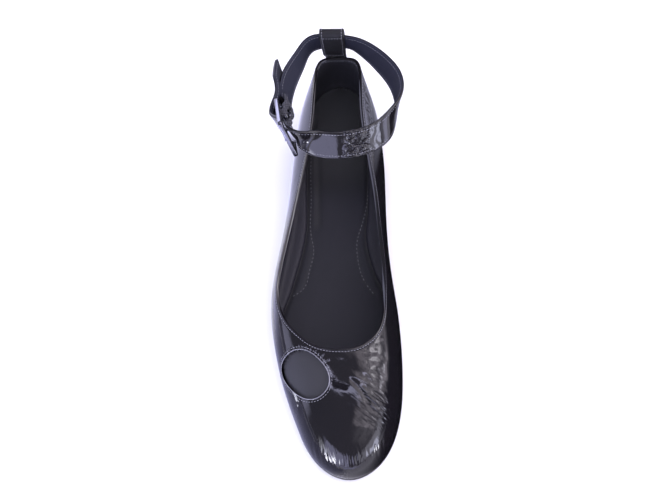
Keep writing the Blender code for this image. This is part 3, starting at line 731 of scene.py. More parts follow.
upperShape = {
    "samples": 1200, "columns": 460, "wallRows": 66, "thickness": 1.8, "rimBevel": 0.72,
    # in front of this y the columns are this much closer together
    "toeFrom": -52, "toeCrowding": 1.75,
    "edgeDistances": (0.0, 0.85, 1.1, 1.3, 1.5, 1.7, 2.0, 2.5, 3.4, 4.6),
    "beadHeight": 0.12, "beadInset": 0.75, "stitchGroove": 0.22, "stitchInset": 1.55,
    "flexDepth": 0.34, "gatherDepth": 0.45,
    # long flex creases: ends in plan, bow of the middle, depth, half width and any share of the ridges
    "flexes": (
        ((12.9, -74.6), (35.2, -86.0), 0.8, 0.42, 1.2),
        ((9.6, -77.3), (31.8, -89.7), 1.2, 0.80, 1.4),
        ((11.4, -78.4), (22.8, -93.6), 1.2, 1.70, 1.1, 0.0),
        ((20.9, -82.0), (34.0, -87.9), -0.5, 0.34, 0.7),
        ((20.5, -83.9), (33.3, -90.2), -0.5, 0.34, 0.7),
        ((18.7, -94.3), (33.0, -97.6), 0.6, 0.36, 0.9),
        ((17.2, -74.5), (31.8, -80.7), 0.7, 0.30, 0.9),
        ((27.5, -93.2), (33.5, -95.0), 0.0, 0.34, 0.6),
        ((28.6, -95.6), (33.8, -97.8), 0.0, 0.34, 0.6),
        ((29.1, -98.4), (33.3, -100.8), 0.0, 0.32, 0.6),
        ((20.1, -76.3), (23.8, -79.0), 0.0, 0.60, 0.6),
        ((24.0, -84.6), (33.6, -89.0), 0.3, 0.30, 0.5),
        ((25.0, -88.6), (33.0, -92.4), 0.3, 0.34, 0.6),
        ((16.0, -87.0), (27.0, -92.6), 0.5, 0.30, 0.8),
        ((14.0, -101.0), (27.0, -104.0), 0.8, 0.26, 1.6),
        ((17.0, -62.0), (27.0, -60.5), -0.8, 0.30, 1.3),
        ((21.0, -66.5), (29.5, -68.0), 0.6, 0.34, 1.5),
        ((23.0, -55.0), (30.0, -52.0), 0.4, 0.26, 0.9),
        ((19.3, -72.2), (30.1, -77.5), 0.4, 0.32, 0.8),
        ((-20.8, -88.2), (-17.2, -95.4), 0.3, 0.34, 0.9),
        ((-23.6, -86.4), (-20.9, -92.4), 0.2, 0.26, 0.8),
    ),
    # gathers at the toe: lower end, upper end, depth and half width
    "gathers": (
        ((-10.0, -117.6), (-11.6, -110.6), 0.30, 0.62),
        ((-6.1, -120.8), (-8.4, -113.8), 0.34, 0.66),
        ((-3.6, -122.6), (-5.6, -114.4), 0.30, 0.56),
        ((-1.2, -124.2), (-3.2, -116.8), 0.34, 0.62),
        ((1.4, -125.6), (0.4, -117.4), 0.36, 0.66),
        ((4.8, -127.2), (4.2, -118.6), 0.36, 0.62),
        ((8.5, -126.6), (8.8, -117.0), 0.34, 0.62),
        ((11.9, -125.8), (11.2, -117.6), 0.32, 0.60),
        ((15.4, -125.0), (13.4, -115.6), 0.34, 0.56),
        ((18.0, -124.2), (15.6, -116.0), 0.46, 0.46),
        ((19.9, -123.4), (14.6, -114.2), 0.46, 0.50),
        ((22.6, -121.4), (20.4, -115.0), 0.34, 0.60),
        ((27.0, -118.6), (25.4, -111.6), 0.34, 0.66),
        ((30.0, -114.6), (29.2, -109.6), 0.28, 0.6),
    ),
    # gathers that run out from the cut-out's edge
    "rimGathers": (12, 24, 33, 44, 53, 66, 76, 90, 101, 116, -4, -18),
    # broad soft dents and swellings: place, radius, height
    "swellings": (
        ((25.4, -62.0), 6.0, -0.5), ((20.0, -70.0), 5.5, 0.5), ((30.0, -72.0), 6.5, -0.45),
        ((14.0, -84.0), 7.0, 0.5), ((24.0, -98.0), 7.0, -0.4), ((4.0, -92.0), 12.0, -0.3),
        ((26.0, -107.0), 6.0, 0.3), ((8.0, -70.0), 6.0, -0.35),
    ),
    # painted masks for the finest creases: middle and half widths
    "flexedPatch": ((27, -91), (9, 10)), "cloudedPatch": ((22, -76), (12, 18)),
}


def segmentDistance(points, start, end, bow):
    start, end = np.array(start), np.array(end)
    way = end - start
    length = np.linalg.norm(way)
    way = way / length
    across = np.array((-way[1], way[0]))
    share = (points - start) @ way / length
    side = (points - start) @ across - bow * np.sin(np.clip(share, 0, 1) * math.pi)
    return share, side


def pleat(points, start, end, bow, depth, half, ridge=0.55):
    # a sharp trough with a soft ridge on each side, fading at both ends
    share, side = segmentDistance(points, start, end, bow)
    fade = np.clip(np.minimum(share, 1 - share) * 4 + 0.35, 0, 1)
    ridges = ridge * np.exp(-(((np.abs(side) - 1.9 * half) / (1.1 * half)) ** 2))
    return depth * fade * fade * (3 - 2 * fade) * (ridges - np.exp(-((side / half) ** 2)))


def upperGrid():
    s = upperShape
    rows = lastRows(np.linspace(0, 1, s["samples"], endpoint=False))
    line = wallFace(rows, np.full((1, s["samples"]), 0.45))[0]
    steps = np.linalg.norm(np.roll(line, -1, axis=0) - line, axis=1)
    steps *= np.where(line[:, 1] < s["toeFrom"], s["toeCrowding"], 1.0)
    run = np.concatenate(([0.0], np.cumsum(steps)))
    at = np.arange(s["columns"]) / s["columns"] * run[-1]
    rows = lastRows(np.interp(at, run, np.linspace(0, 1, s["samples"] + 1)))
    fractions = np.linspace(0, 1, s["wallRows"], endpoint=False)
    face = wallFace(rows, heightsAt(rows, s["edgeDistances"], fractions))
    run = np.linalg.norm(np.diff(face, axis=0), axis=2)
    fromEdge = np.concatenate((np.cumsum(run[::-1], axis=0)[::-1], np.zeros((1, len(rows)))))
    return face, faceNormals(face), fromEdge


cutoutShape = {
    "radii": (12.1, 15.7), "place": (-16.1, -72.3, 32.0), "axis": (0.03, -0.25, 0.968), "turn": 38.0,
    "power": 2.25, "cutDepth": 22.0, "gatherCentre": (-15.9, -73.6),
    "rimRadius": 0.31, "stitchAway": 1.5, "stitchPitch": 1.9,
}


def cutoutMatrix():
    s = cutoutShape
    turn = Matrix.Rotation(math.radians(s["turn"]), 3, "Z")
    turn = Vector(s["axis"]).to_track_quat("Z", "Y").to_matrix() @ turn
    return Matrix.Translation(s["place"]) @ turn.to_4x4()


def shapeUpper(face, normal, fromEdge):
    s = upperShape
    plan = face[:, :, :2]
    push = s["beadHeight"] * np.exp(-(((fromEdge - s["beadInset"]) / 0.5) ** 2))
    push = push - s["stitchGroove"] * np.exp(-(((fromEdge - s["stitchInset"]) / 0.28) ** 2))
    vamp = (normal[:, :, 2] > -0.2) & (fromEdge > 2.0)
    creased = np.zeros_like(push)
    for start, end, bow, depth, half, *ridge in s["flexes"]:
        creased += pleat(plan, start, end, bow, depth * s["flexDepth"], half, *ridge)
    for start, end, depth, half in s["gathers"]:
        creased += pleat(plan, start, end, 0.3, depth * s["gatherDepth"], half)
    a, b = cutoutShape["radii"]
    centre = Vector(cutoutShape["gatherCentre"])
    for turn in s["rimGathers"]:
        angle = math.radians(turn)
        way = (cutoutMatrix().to_3x3() @ Vector((a * math.cos(angle), b * math.sin(angle), 0))).to_2d()
        end = centre + way * (1.22 + 0.03 * math.sin(turn))
        creased += pleat(plan, centre + way, end, 0.0, 0.3, 0.5)
    for place, radius, height in s["swellings"]:
        away = np.linalg.norm(plan - np.array(place), axis=2) / radius
        creased += 0.6 * height * np.exp(-(away**2))
    low = np.clip((face[:, :, 2] - soleTop(face[:, :, 1]) - 1.2) / 2.0, 0, 1)
    push = push + creased * vamp * low * np.clip((fromEdge - 2) / 3, 0, 1)
    return face + normal * push[:, :, None]


upperFace, upperNormal, upperFromEdge = upperGrid()
upperFace = shapeUpper(upperFace, upperNormal, upperFromEdge)


def makeCutoutCutter():
    # the cut-out's outline lofted straight through the vamp
    place, depth = cutoutMatrix(), cutoutShape["cutDepth"]
    a, b = cutoutShape["radii"]
    power = 2 / cutoutShape["power"]
    angles = np.linspace(0, 2 * math.pi, 160, endpoint=False)
    c, s = np.cos(angles), np.sin(angles)
    outline = np.column_stack((a * np.sign(c) * np.abs(c) ** power, b * np.sign(s) * np.abs(s) ** power))
    rings = [[tuple(place @ Vector((x, y, z))) for x, y in outline] for z in (-depth, depth)]
    bm = gridMesh(rings, closedAcross=True)
    closeEnds(bm)
    return finishMesh(bm, "cutoutCutter", ["patent"], smooth=0)


def patch(x, y, centre, half):
    return math.exp(-(((x - centre[0]) / half[0]) ** 2) - (((y - centre[1]) / half[1]) ** 2))


def makeUpper():
    s = upperShape
    bm = gridMesh(upperFace, closedAcross=True)
    labels = ("flexed", "clouded", "gathered", "dented")
    flexed, clouded, gathered, dented = (bm.verts.layers.float.new(label) for label in labels)
    for v in bm.verts:
        x, y = v.co.x / mm + middle[0], v.co.y / mm + middle[1]
        v[flexed] = patch(x, y, *s["flexedPatch"])
        v[clouded] = patch(x, y, *s["cloudedPatch"])
        if y < -104:  # an arc round the toe
            arc = math.exp(-(((math.hypot((x - 9) / 24, (y + 100) / 25) - 0.9) / 0.16) ** 2))
            v[gathered] = arc * math.exp(-(((x - 7) / 15) ** 4))
        if x > 14 and v.co.z > 0.042:  # a slanting strip on the counter's medial side
            v[dented] = math.exp(-(((x - 20.5 + (y - 95) * 0.13) / 2.2) ** 4) - (((y - 95) / 13) ** 6))
    paintShade(bm, lambda x, y, z: insideShade(y))
    piece = finishMesh(bm, "upperShell", ["patent", "lining"], smooth=0)
    addModifier(
        piece, "SOLIDIFY", thickness=s["thickness"] * mm, offset=-1, use_even_offset=True,
        material_offset=1, material_offset_rim=0,
    )
    addBevel(piece, s["rimBevel"], 3, 65)
    applyModifiers(piece, 50)
    cutWith(piece, makeCutoutCutter(), 50)
    return addPiece(piece, "patent_leather", "upper")


upperPiece = makeUpper()


def faceTree(points, closed=True):
    # a searchable copy of a grid, in millimetres, for laying threads on it
    rows, columns = points.shape[:2]
    flat = [tuple(p) for p in points.reshape(-1, 3)]
    quads = []
    for r in range(rows - 1):
        for c in range(columns if closed else columns - 1):
            d = (c + 1) % columns
            quads.append((r * columns + c, r * columns + d, (r + 1) * columns + d, (r + 1) * columns + c))
    return BVHTree.FromPolygons(flat, quads)


upperTree = faceTree(upperFace)
outwardSign = 1.0 if upperTree.find_nearest(Vector((4, -90, 45)))[1].z > 0 else -1.0


def cutoutEdge(piece, count):
    # the cut's outer edge in order round it, with the outer face's normals
    back = cutoutMatrix().inverted()
    a, b = cutoutShape["radii"]
    power = cutoutShape["power"]
    found = []
    for v in piece.data.vertices:
        place = Vector(np.array(v.co) / mm + middle)
        local = back @ place
        reach = abs(local.x / a) ** power + abs(local.y / b) ** power
        if abs(local.z) > cutoutShape["cutDepth"] or abs(reach - 1) > 0.01:
            continue
        _, normal, _, away = upperTree.find_nearest(place)
        if away < 0.03:
            found.append((math.atan2(local.y / b, local.x / a), *place, *(normal * outwardSign)))
    found = np.array(sorted(found))
    turns = np.linspace(-math.pi, math.pi, count, endpoint=False)
    ring = [np.interp(turns, found[:, 0], column, period=2 * math.pi) for column in found.T[1:]]
    return np.column_stack(ring[:3]), np.column_stack(ring[3:])


def smoothRing(values, passes):
    for _ in range(passes):
        values = (np.roll(values, 1, axis=0) + 2 * values + np.roll(values, -1, axis=0)) / 4
    return values


def makeCutoutRim():
    s = cutoutShape
    points, normals = cutoutEdge(upperPiece, 240)
    points, normals = smoothRing(points, 3), unit(smoothRing(normals, 14))
    away = unit(np.cross(waysAlong(points, closed=True), normals))
    if ((points - points.mean(axis=0)) * away).sum() < 0:
        away = -away
    bm = tubeAlong(points + away * 0.02 - normals * 0.12, s["rimRadius"], 10, normals, closed=True)
    addPiece(finishMesh(bm, "cutoutRim", ["rimPaintAndHighlight"], smooth=0), "patent_leather")
    hits = [upperTree.find_nearest(Vector(point)) for point in points + away * s["stitchAway"]]
    laid = smoothRing(np.array([hit[0] for hit in hits]), 3)
    faced = smoothRing(np.array([hit[1] * outwardSign for hit in hits]), 8)
    bm = bmesh.new()
    addStitches(bm, laid, faced, s["stitchPitch"], (1.25, 0.17), closed=True)
    addPiece(finishMesh(bm, "cutoutStitches", ["thread"]), "patent_leather")


def makeToplineStitches():
    s, face = upperShape, upperFace
    columns = np.arange(face.shape[1])
    up = np.array([np.interp(-s["stitchInset"], -upperFromEdge[:, j], np.arange(len(face))) for j in columns])
    low = np.floor(up).astype(int)
    part = (up - low)[:, None]
    points = face[low, columns] * (1 - part) + face[low + 1, columns] * part
    normals = upperNormal[low, columns]
    bm = bmesh.new()
    addStitches(bm, points, normals, 1.8, (1.2, 0.2), closed=True)
    addStitches(bm, points - normals * (s["thickness"] + 0.1), -normals, 1.8, (1.15, 0.15), closed=True)
    addPiece(finishMesh(bm, "toplineStitches", ["thread"]), "patent_leather")


makeCutoutRim()
makeToplineStitches()

# sock lining inside, plate sole and low heel underneath

turnedLining = {
    "high": 13.0, "steps": 110, "fade": 18, "thickness": 0.5,
    # where the side lining meets the sock lining: x and y, lateral then medial
    "lateral": (
        (-14.6, 100.0), (-18.2, 82.0), (-18.9, 65.5), (-18.5, 45.5), (-18.2, 30.0), (-19.9, 16.7),
        (-22.2, 6.0), (-24.5, -2.2), (-28.0, -14.8), (-31.4, -24.2), (-33.6, -33.0), (-34.6, -42.0),
    ),
    "medial": (
        (15.8, 100.0), (18.8, 82.0), (19.4, 62.1), (19.5, 48.8), (19.3, 36.0), (18.4, 26.2), (19.0, 16.7),
        (21.0, 7.8), (24.7, -2.8), (28.6, -11.0), (32.0, -22.0), (34.6, -34.0), (35.8, -44.0),
    ),
}
sockShape = {
    "inset": 2.0, "lift": 0.42, "thickness": 2.2, "rows": 150, "columns": 56, "dish": 0.5,
    "ridge": ((-12.6, 84.0), (-11.9, 60.0), (-11.7, 42.0), (-11.6, 30.0)),
    "seams": (
        (
            (-16.4, 88.0), (-16.5, 60.7), (-16.0, 42.2), (-15.8, 24.2),
            (-13.9, 12.2), (-16.3, 1.2), (-19.4, -9.8), (-26.8, -15.4),
        ),
        (
            (19.0, 88.0), (19.6, 60.0), (19.2, 47.4), (15.8, 30.0),
            (13.0, 20.0), (13.5, 8.1), (17.2, -4.8), (23.5, -13.7),
        ),
    ),
    # the grooves along these lines: depth, half width and how much painted shade they get
    "seamGroove": (0.22, 0.9, 0.5), "liningGroove": (0.8, 1.4, 1.0), "ridgeGroove": (0.5, 2.0, 0.8),
}


def sidesOf(outline, ys):
    # the outline's lateral and medial edges at each y
    ring = np.roll(outline, -int(np.argmax(outline[:, 1])), axis=0)
    front = int(np.argmin(ring[:, 1]))
    lateral, medial = ring[: front + 1], np.concatenate((ring[front:], ring[:1]))
    lateral, medial = lateral[np.argsort(lateral[:, 1])], medial[np.argsort(medial[:, 1])]
    return np.interp(ys, lateral[:, 1], lateral[:, 0]), np.interp(ys, medial[:, 1], medial[:, 0])


def plateRows(outline, count, columns):
    # plan points row by row from the toe to the heel, close together at both ends
    low, high = outline[:, 1].min() + 0.01, outline[:, 1].max() - 0.01
    ys = (low + high) / 2 - (high - low) / 2 * np.cos(np.linspace(0, math.pi, count))
    left, right = sidesOf(outline, ys)
    share = (1 - np.cos(np.linspace(0, math.pi, columns))) / 2
    share = 0.5 * share + 0.5 * np.linspace(0, 1, columns)
    xs = left[:, None] + (right - left)[:, None] * share[None]
    return xs, np.repeat(ys[:, None], columns, axis=1)


sockOutline = featherLine(lastRows(np.linspace(0, 1, 900, endpoint=False)), sockShape["inset"])


def sockHeight(x, y):
    s = sockShape
    left, right = sidesOf(sockOutline, y)
    share = np.clip((x - left) / np.maximum(right - left, 0.1), 0, 1)
    return soleTop(y) + s["lift"] + s["thickness"] + s["dish"] * (np.abs(2 * share - 1) ** 3) - 0.1


def trough(x, y, line, depth, half):
    # a groove along a line of points, and how near each place is to it
    points = np.stack((x, y), axis=-1)
    near = np.full(x.shape, 1e9)
    for start, end in zip(line, line[1:]):
        share, side = segmentDistance(points, start, end, 0.0)
        beyond = np.maximum(0, np.maximum(-share, share - 1)) * math.dist(start, end)
        near = np.minimum(near, np.hypot(side, beyond))
    close = np.exp(-((near / half) ** 2))
    return -depth * close, close


def makeSock():
    s = sockShape
    xs, ys = plateRows(sockOutline, s["rows"], s["columns"])
    zs = sockHeight(xs, ys)
    shade = np.zeros_like(zs)
    grooves = [(seam, s["seamGroove"]) for seam in s["seams"]]
    grooves += [(turnedLining[side], s["liningGroove"]) for side in ("lateral", "medial")]
    # each groove also lays painted shade along its line
    for line, (depth, half, dark) in (*grooves, (s["ridge"], s["ridgeGroove"])):
        dip, close = trough(xs, ys, line, depth, half)
        zs, shade = zs + dip, np.maximum(shade, dark * close)
    points = np.stack((xs, ys, zs), axis=2)
    shades = {tuple(np.round(p, 3)): k for p, k in zip(points.reshape(-1, 3), shade.reshape(-1))}
    bm = gridMesh(points)
    paintShade(bm, lambda x, y, z: max(insideShade(y), shades.get(tuple(np.round((x, y, z), 3)), 0.0)))
    piece = finishMesh(bm, "sockLining", ["sock"], smooth=0)
    down = -1 if piece.data.polygons[0].normal.z > 0 else 1
    addModifier(piece, "SOLIDIFY", thickness=(s["thickness"] - 0.2) * mm, offset=down)
    addBevel(piece, 0.5, 2, 60)
    applyModifiers(piece, 50)
    addPiece(piece, "sock_lining", "insole")
    return faceTree(points, closed=False)


def makeSockStitches(sockTree):
    bm = bmesh.new()
    for seam in sockShape["seams"]:
        starts = [Vector((x, y, 60)) for x, y in denseLine(seam, 120)]
        points = np.array([tuple(sockTree.ray_cast(start, Vector((0, 0, -1)))[0]) for start in starts])
        addStitches(bm, points, np.tile((0, 0, 1.0), (len(points), 1)), 2.5, (1.45, 0.26), sink=0.09)
    addPiece(finishMesh(bm, "sockStitches", ["sockThread"]), "sock_lining")


def makeTurnedLining():
    # the side lining rolls in over the sock lining's edge on both sides
    s = turnedLining
    for label, sign in (("lateral", -1), ("medial", 1)):
        line = np.array(s[label])[::-1]
        ys = np.linspace(line[0, 1], line[-1, 1], s["steps"])
        xs = splineThrough(line[:, 1], line[:, :1], ys)[:, 0]
        edge = sidesOf(sockOutline, ys)[0 if sign < 0 else 1]
        strips = []
        for x, y, rim in zip(xs, ys, edge):
            ends = (y - ys[0], ys[-1] - y)
            fade = math.prod(math.sin(math.pi * min(1, away / s["fade"]) / 2) for away in ends)
            floor = float(sockHeight(np.array(x), np.array(y)))
            x = rim - sign * max(0.35, (sign * (rim - x)) * (0.15 + 0.85 * fade))
            high = floor + s["high"]
            hit = upperTree.ray_cast(Vector((0, y, high)), Vector((sign, 0, 0)))[0]
            wall = (hit.x if hit else sign * 28) - sign * 2.0
            guide = (
                (wall, high), (wall, floor + 7.0), (wall * 0.45 + rim * 0.55, floor + 2.6),
                (x + sign * 2.8, floor + 2.1), (x + sign * 0.7, floor + 1.5), (x, floor - 0.6),
            )
            strips.append([(a, y, b) for a, b in denseLine(guide, 16)])
        bm = gridMesh(strips)
        paintShade(bm, lambda x, y, z: insideShade(y))
        piece = finishMesh(bm, label + "TurnedLining", ["lining"], smooth=0)
        inward = 1 if piece.data.polygons[0].normal.x * sign > 0 else -1
        addModifier(piece, "SOLIDIFY", thickness=s["thickness"] * mm, offset=inward)
        applyModifiers(piece, 60)
        addPiece(piece, "patent_leather")


makeSockStitches(makeSock())
makeTurnedLining()


soleShape = {
    "columns": 300, "edge": 0.9, "round": 0.5, "grooveInset": 4.5, "grooveDepth": 0.45,
    # the plate narrows to a line between these two places
    "spine": (-96.0, 106.0),
}
heelShape = {
    "height": 9.0, "inset": 0.6, "taper": 1.2, "breast": 74.0,
    # how far each ring is drawn in, and its height
    "rings": ((0.5, 0.0), (0.0, 0.5), (0.0, 2.6), (0.3, 2.8), (0.0, 3.0), (0.0, 9.0)),
}
soleRows = lastRows(np.linspace(0, 1, soleShape["columns"], endpoint=False))


def ringPlate(profile):
    # a closed plate whose rings follow the sole: inset, surface, rise over it, and share towards the spine
    rings = []
    for inset, surface, rise, share in profile:
        outline = featherLine(soleRows, inset - soleShape["edge"])
        ys = np.clip(outline[:, 1], *soleShape["spine"])
        centre = np.column_stack((sum(sidesOf(outline, ys)) / 2, ys))
        plan = outline + (centre - outline) * share
        rings.append(np.column_stack((plan, surface(plan[:, 1]) + rise)))
    return np.array(rings)


def makeOutsole():
    s = soleShape
    curve, groove, deep = s["round"], s["grooveInset"], s["grooveDepth"]
    profile = [(3.0, soleTop, 0, share) for share in (1.0, 0.6, 0.2, 0.0)]
    profile += [(curve, soleTop, 0, 0), (0.15, soleTop, -0.15, 0), (0, soleTop, -curve, 0)]
    profile += [(inset, soleTop, rise, 0) for inset, rise in ((0, -1.15), (0.25, -1.35), (0, -1.55))]
    profile += [(0, soleBottom, curve, 0), (0.15, soleBottom, 0.15, 0), (curve, soleBottom, 0, 0)]
    for away, rise in ((-0.8, 0), (-0.4, deep), (0.4, deep), (0.8, 0)):
        profile.append((groove + away, soleBottom, rise, 0))
    profile += [(groove + 1.2, soleBottom, 0, share) for share in (0.0, 0.3, 0.65, 1.0)]
    bm = gridMesh(ringPlate(profile), closedAcross=True)
    addPiece(finishMesh(bm, "outsolePlate", ["rubber"], smooth=40), "sole_rubber", "outsole")


def makeHeel():
    s = heelShape
    rings = []
    for dent, z in s["rings"]:
        inset = s["inset"] - soleShape["edge"] + dent + s["taper"] * (1 - z / s["height"])
        outline = featherLine(soleRows, inset)
        rings.append(np.column_stack((outline, np.full(len(outline), z))))
    bm = gridMesh(rings, closedAcross=True)
    closeEnds(bm)
    bmesh.ops.bisect_plane(
        bm, geom=[*bm.verts, *bm.edges, *bm.faces], dist=1e-7,
        plane_co=(0, (s["breast"] - middle[1]) * mm, 0), plane_no=(0, 1, 0), clear_inner=True,
    )
    closeEnds(bm)
    addPiece(finishMesh(bm, "heelBlock", ["rubber"], smooth=40), "sole_rubber", "heel")


makeOutsole()
makeHeel()

# flat bands: the back tab, the ankle strap and the elastic

def bandSection(width, thickness, count):
    # a flat band's section with rounded edges: positions across and outwards, outside first
    r = 0.6
    a, b = width / 2 - r, thickness / 2 - r
    face = np.linspace(a, -a, count)
    corner = [(r * math.cos(math.radians(t)), r * math.sin(math.radians(t))) for t in (45, 0)]
    section = [(x, b + r) for x in face]
    section += [(-a - u, b + v) for u, v in corner]
    section += [(-a - u, -b - v) for u, v in corner[::-1]]
    section += [(x, -b - r) for x in face[::-1]]
    section += [(a + u, -b - v) for u, v in corner]
    section += [(a + u, b + v) for u, v in corner[::-1]]
    return np.array(section)


def bandMesh(centre, across, outward, widths, thickness, count, shape=None):
    # a band from its middle line, with its place across and along kept as an attribute in millimetres
    run = lengthsAlong(centre)
    rings, places = [], []
    for i in range(len(centre)):
        s, t = bandSection(widths[i], thickness, count).T
        if shape is not None:
            t = t + shape(i, run[i], s, t)
        rings.append(centre[i] + s[:, None] * across[i] + t[:, None] * outward[i])
        places.append(np.column_stack((s, np.full(len(s), run[i]), t)))
    rings, places = np.array(rings), np.array(places)
    bm = gridMesh(rings, closedAcross=True)
    closeEnds(bm)
    layer = bm.verts.layers.float_vector.new("bandPlace")
    placeAt = {}
    for point, place in zip(rings.reshape(-1, 3), places.reshape(-1, 3)):
        placeAt[tuple(np.round((point - middle) * mm, 6))] = place
    for v in bm.verts:
        v[layer] = Vector(placeAt.get(tuple(np.round(np.array(v.co), 6)), (0, 0, 0)))
    return bm


def paintFaces(piece, rule):
    place = piece.data.attributes["bandPlace"].data
    for polygon in piece.data.polygons:
        outs = [place[i].vector.z for i in polygon.vertices]
        polygon.material_index = rule(sum(outs) / len(outs))


tabShape = {
    "thickness": 1.7, "stitchInset": 1.5, "stitchPitch": 1.8, "stitch": (1.15, 0.17),
    # how far the strip leans sideways at some heights
    "leanHeights": (32, 61.5, 77.4, 88.4), "lean": (0.2, -0.4, -0.8, -1.4),
    # heights of the rows of stitches across the strip: two on its front part, one on its back part
    "crossStitches": (85.6, 64.5, 50.0),
    # y and z of the strip's middle line, width and bend round the counter
    "path": (
        (129.35, 32.4, 13.2, 1.4), (129.05, 44.0, 13.2, 1.3), (127.2, 55.0, 13.3, 0.9),
        (125.2, 61.5, 13.6, 0.5), (124.8, 68.0, 14.0, 0.1), (125.4, 77.4, 14.4, 0.0),
        (125.5, 85.0, 14.8, 0.0), (124.9, 87.7, 14.8, 0.0), (123.2, 88.7, 14.8, 0.0),
        (121.5, 87.7, 14.8, 0.0), (120.8, 85.0, 14.8, 0.0), (120.3, 77.4, 14.4, 0.0),
        (120.3, 69.0, 14.0, 0.0), (121.9, 62.5, 13.8, 0.2),
    ),
}


def makeTab():
    s = tabShape
    path = np.array(s["path"])
    run = lengthsAlong(path[:, :2])
    dense = splineThrough(run, path, np.linspace(0, run[-1], 110))
    centre = np.column_stack((np.interp(dense[:, 1], s["leanHeights"], s["lean"]), dense[:, 0], dense[:, 1]))
    widths, bend = dense[:, 2], dense[:, 3]
    ahead = waysAlong(centre)
    ahead[:, 0] = 0
    across = np.tile((-1.0, 0, 0), (len(centre), 1))
    outward = np.cross(across, unit(ahead))

    def shape(i, along, side, out):
        wear = 0.10 * math.sin(along * 0.9) * np.sin(side * 0.7)
        pad = 0.16 * np.exp(-(((np.abs(side) - widths[i] / 2 + 0.7) / 0.6) ** 2)) * np.sign(out)
        return -bend[i] * (2 * side / widths[i]) ** 2 + wear + pad

    bm = bandMesh(centre, across, outward, widths, s["thickness"], 9, shape)
    addPiece(finishMesh(bm, "heelTabStrip", ["tab"], smooth=60), "strap_leather", "heel_tab")
    bm = bmesh.new()
    reach = widths / 2 - s["stitchInset"]
    for side in (-1, 1):
        for face in (1, -1):
            offset = side * reach
            lift = face * (s["thickness"] / 2 + 0.06) - bend * (2 * offset / widths) ** 2
            points = centre + across * offset[:, None] + outward * lift[:, None]
            addStitches(bm, points[3:-3], outward[3:-3] * face, s["stitchPitch"], s["stitch"])
    half = int(len(centre) * 0.55)
    for z in s["crossStitches"]:
        rows = range(half + 1, len(centre)) if z > 60 else range(half + 1)
        i = min(rows, key=lambda k: abs(centre[k][2] - z))
        sides = np.linspace(-1, 1, 12) * reach[i]
        lift = s["thickness"] / 2 + 0.05 - bend[i] * (2 * sides / widths[i]) ** 2
        points = centre[i] + across[i] * sides[:, None] + outward[i] * lift[:, None]
        addStitches(bm, points, np.tile(outward[i], (12, 1)), s["stitchPitch"], s["stitch"])
    addPiece(finishMesh(bm, "heelTabStitches", ["thread"]), "strap_leather")


buckleShape = {
    "centre": (-27.1, 62.2, 84.7), "along": (0.15, -0.89, 0.43), "up": (-0.31, 0.37, 0.875),
    "length": 25.4, "height": 28.0, "thickness": 2.4, "front": 5.0, "side": 4.5, "rear": 3.0, "corner": 2.5,
    "innerCorner": 1.0, "soften": 0.55, "notchRadius": 1.35,
    "pin": 0.8, "ring": 3.8, "notch": 1.3, "gap": 0.3,
}
strapShape = {
    "width": 16.5, "thickness": 1.8, "point": 13.0, "steps": 420, "stitchInset": 1.9,
    # the middle line's points, each with its lean in degrees
    "loop": (
        (-26.9, 97.2, 76.4, 25), (-20.5, 111.4, 77.0, 15), (-14.6, 120.8, 77.4, 5), (-7.6, 123.1, 77.4, 1),
        (0.3, 122.9, 77.4, -1), (8.0, 122.3, 77.6, -4), (14.6, 119.6, 77.6, 4), (21.8, 114.4, 77.6, 14),
        (29.8, 106.4, 77.8, 22), (36.6, 96.0, 78.6, 24), (38.8, 84.0, 80.0, 14), (35.8, 71.4, 82.2, -8),
        (29.8, 60.2, 84.8, -32), (16.4, 51.6, 86.8, -45), (1.0, 49.2, 87.8, -45), (-12.0, 50.8, 88.6, -32),
    ),
    "tip": ((-31.0, 84.0, 79.2, 20), (-32.3, 96.0, 80.4, 23), (-34.3, 108.6, 81.6, 24)),
    # wrinkles on the front: place from side to side, slope and depth
    "wrinkles": (
        (7.0, 3.0, 0.30), (9.5, -2.0, 0.34), (12.0, 4.0, 0.36), (14.2, 0.5, 0.30), (16.5, -4.0, 0.34),
        (18.0, 3.0, 0.30), (20.5, -1.0, 0.34), (23.0, 4.0, 0.26), (-1.0, -3.0, 0.14), (26.0, 1.0, 0.20),
    ),
}


def buckleAxes():
    along = Vector(buckleShape["along"]).normalized()
    up = Vector(buckleShape["up"])
    up = (up - along * up.dot(along)).normalized()
    return along, up, up.cross(along).normalized() * -1


buckleAlong, buckleUp, buckleOut = buckleAxes()
# how far along the buckle its rear and front rails lie
buckleBar = -(buckleShape["length"] - buckleShape["rear"]) / 2
buckleRail = (buckleShape["length"] - buckleShape["front"]) / 2


def buckleSpot(along, out):
    return Vector(buckleShape["centre"]) + buckleAlong * along + buckleOut * out


def inBuckle(points):
    # points given along, across and outwards in the buckle, in the tables' millimetres
    return np.array(buckleShape["centre"]) + np.asarray(points) @ np.array((buckleAlong, buckleUp, buckleOut))


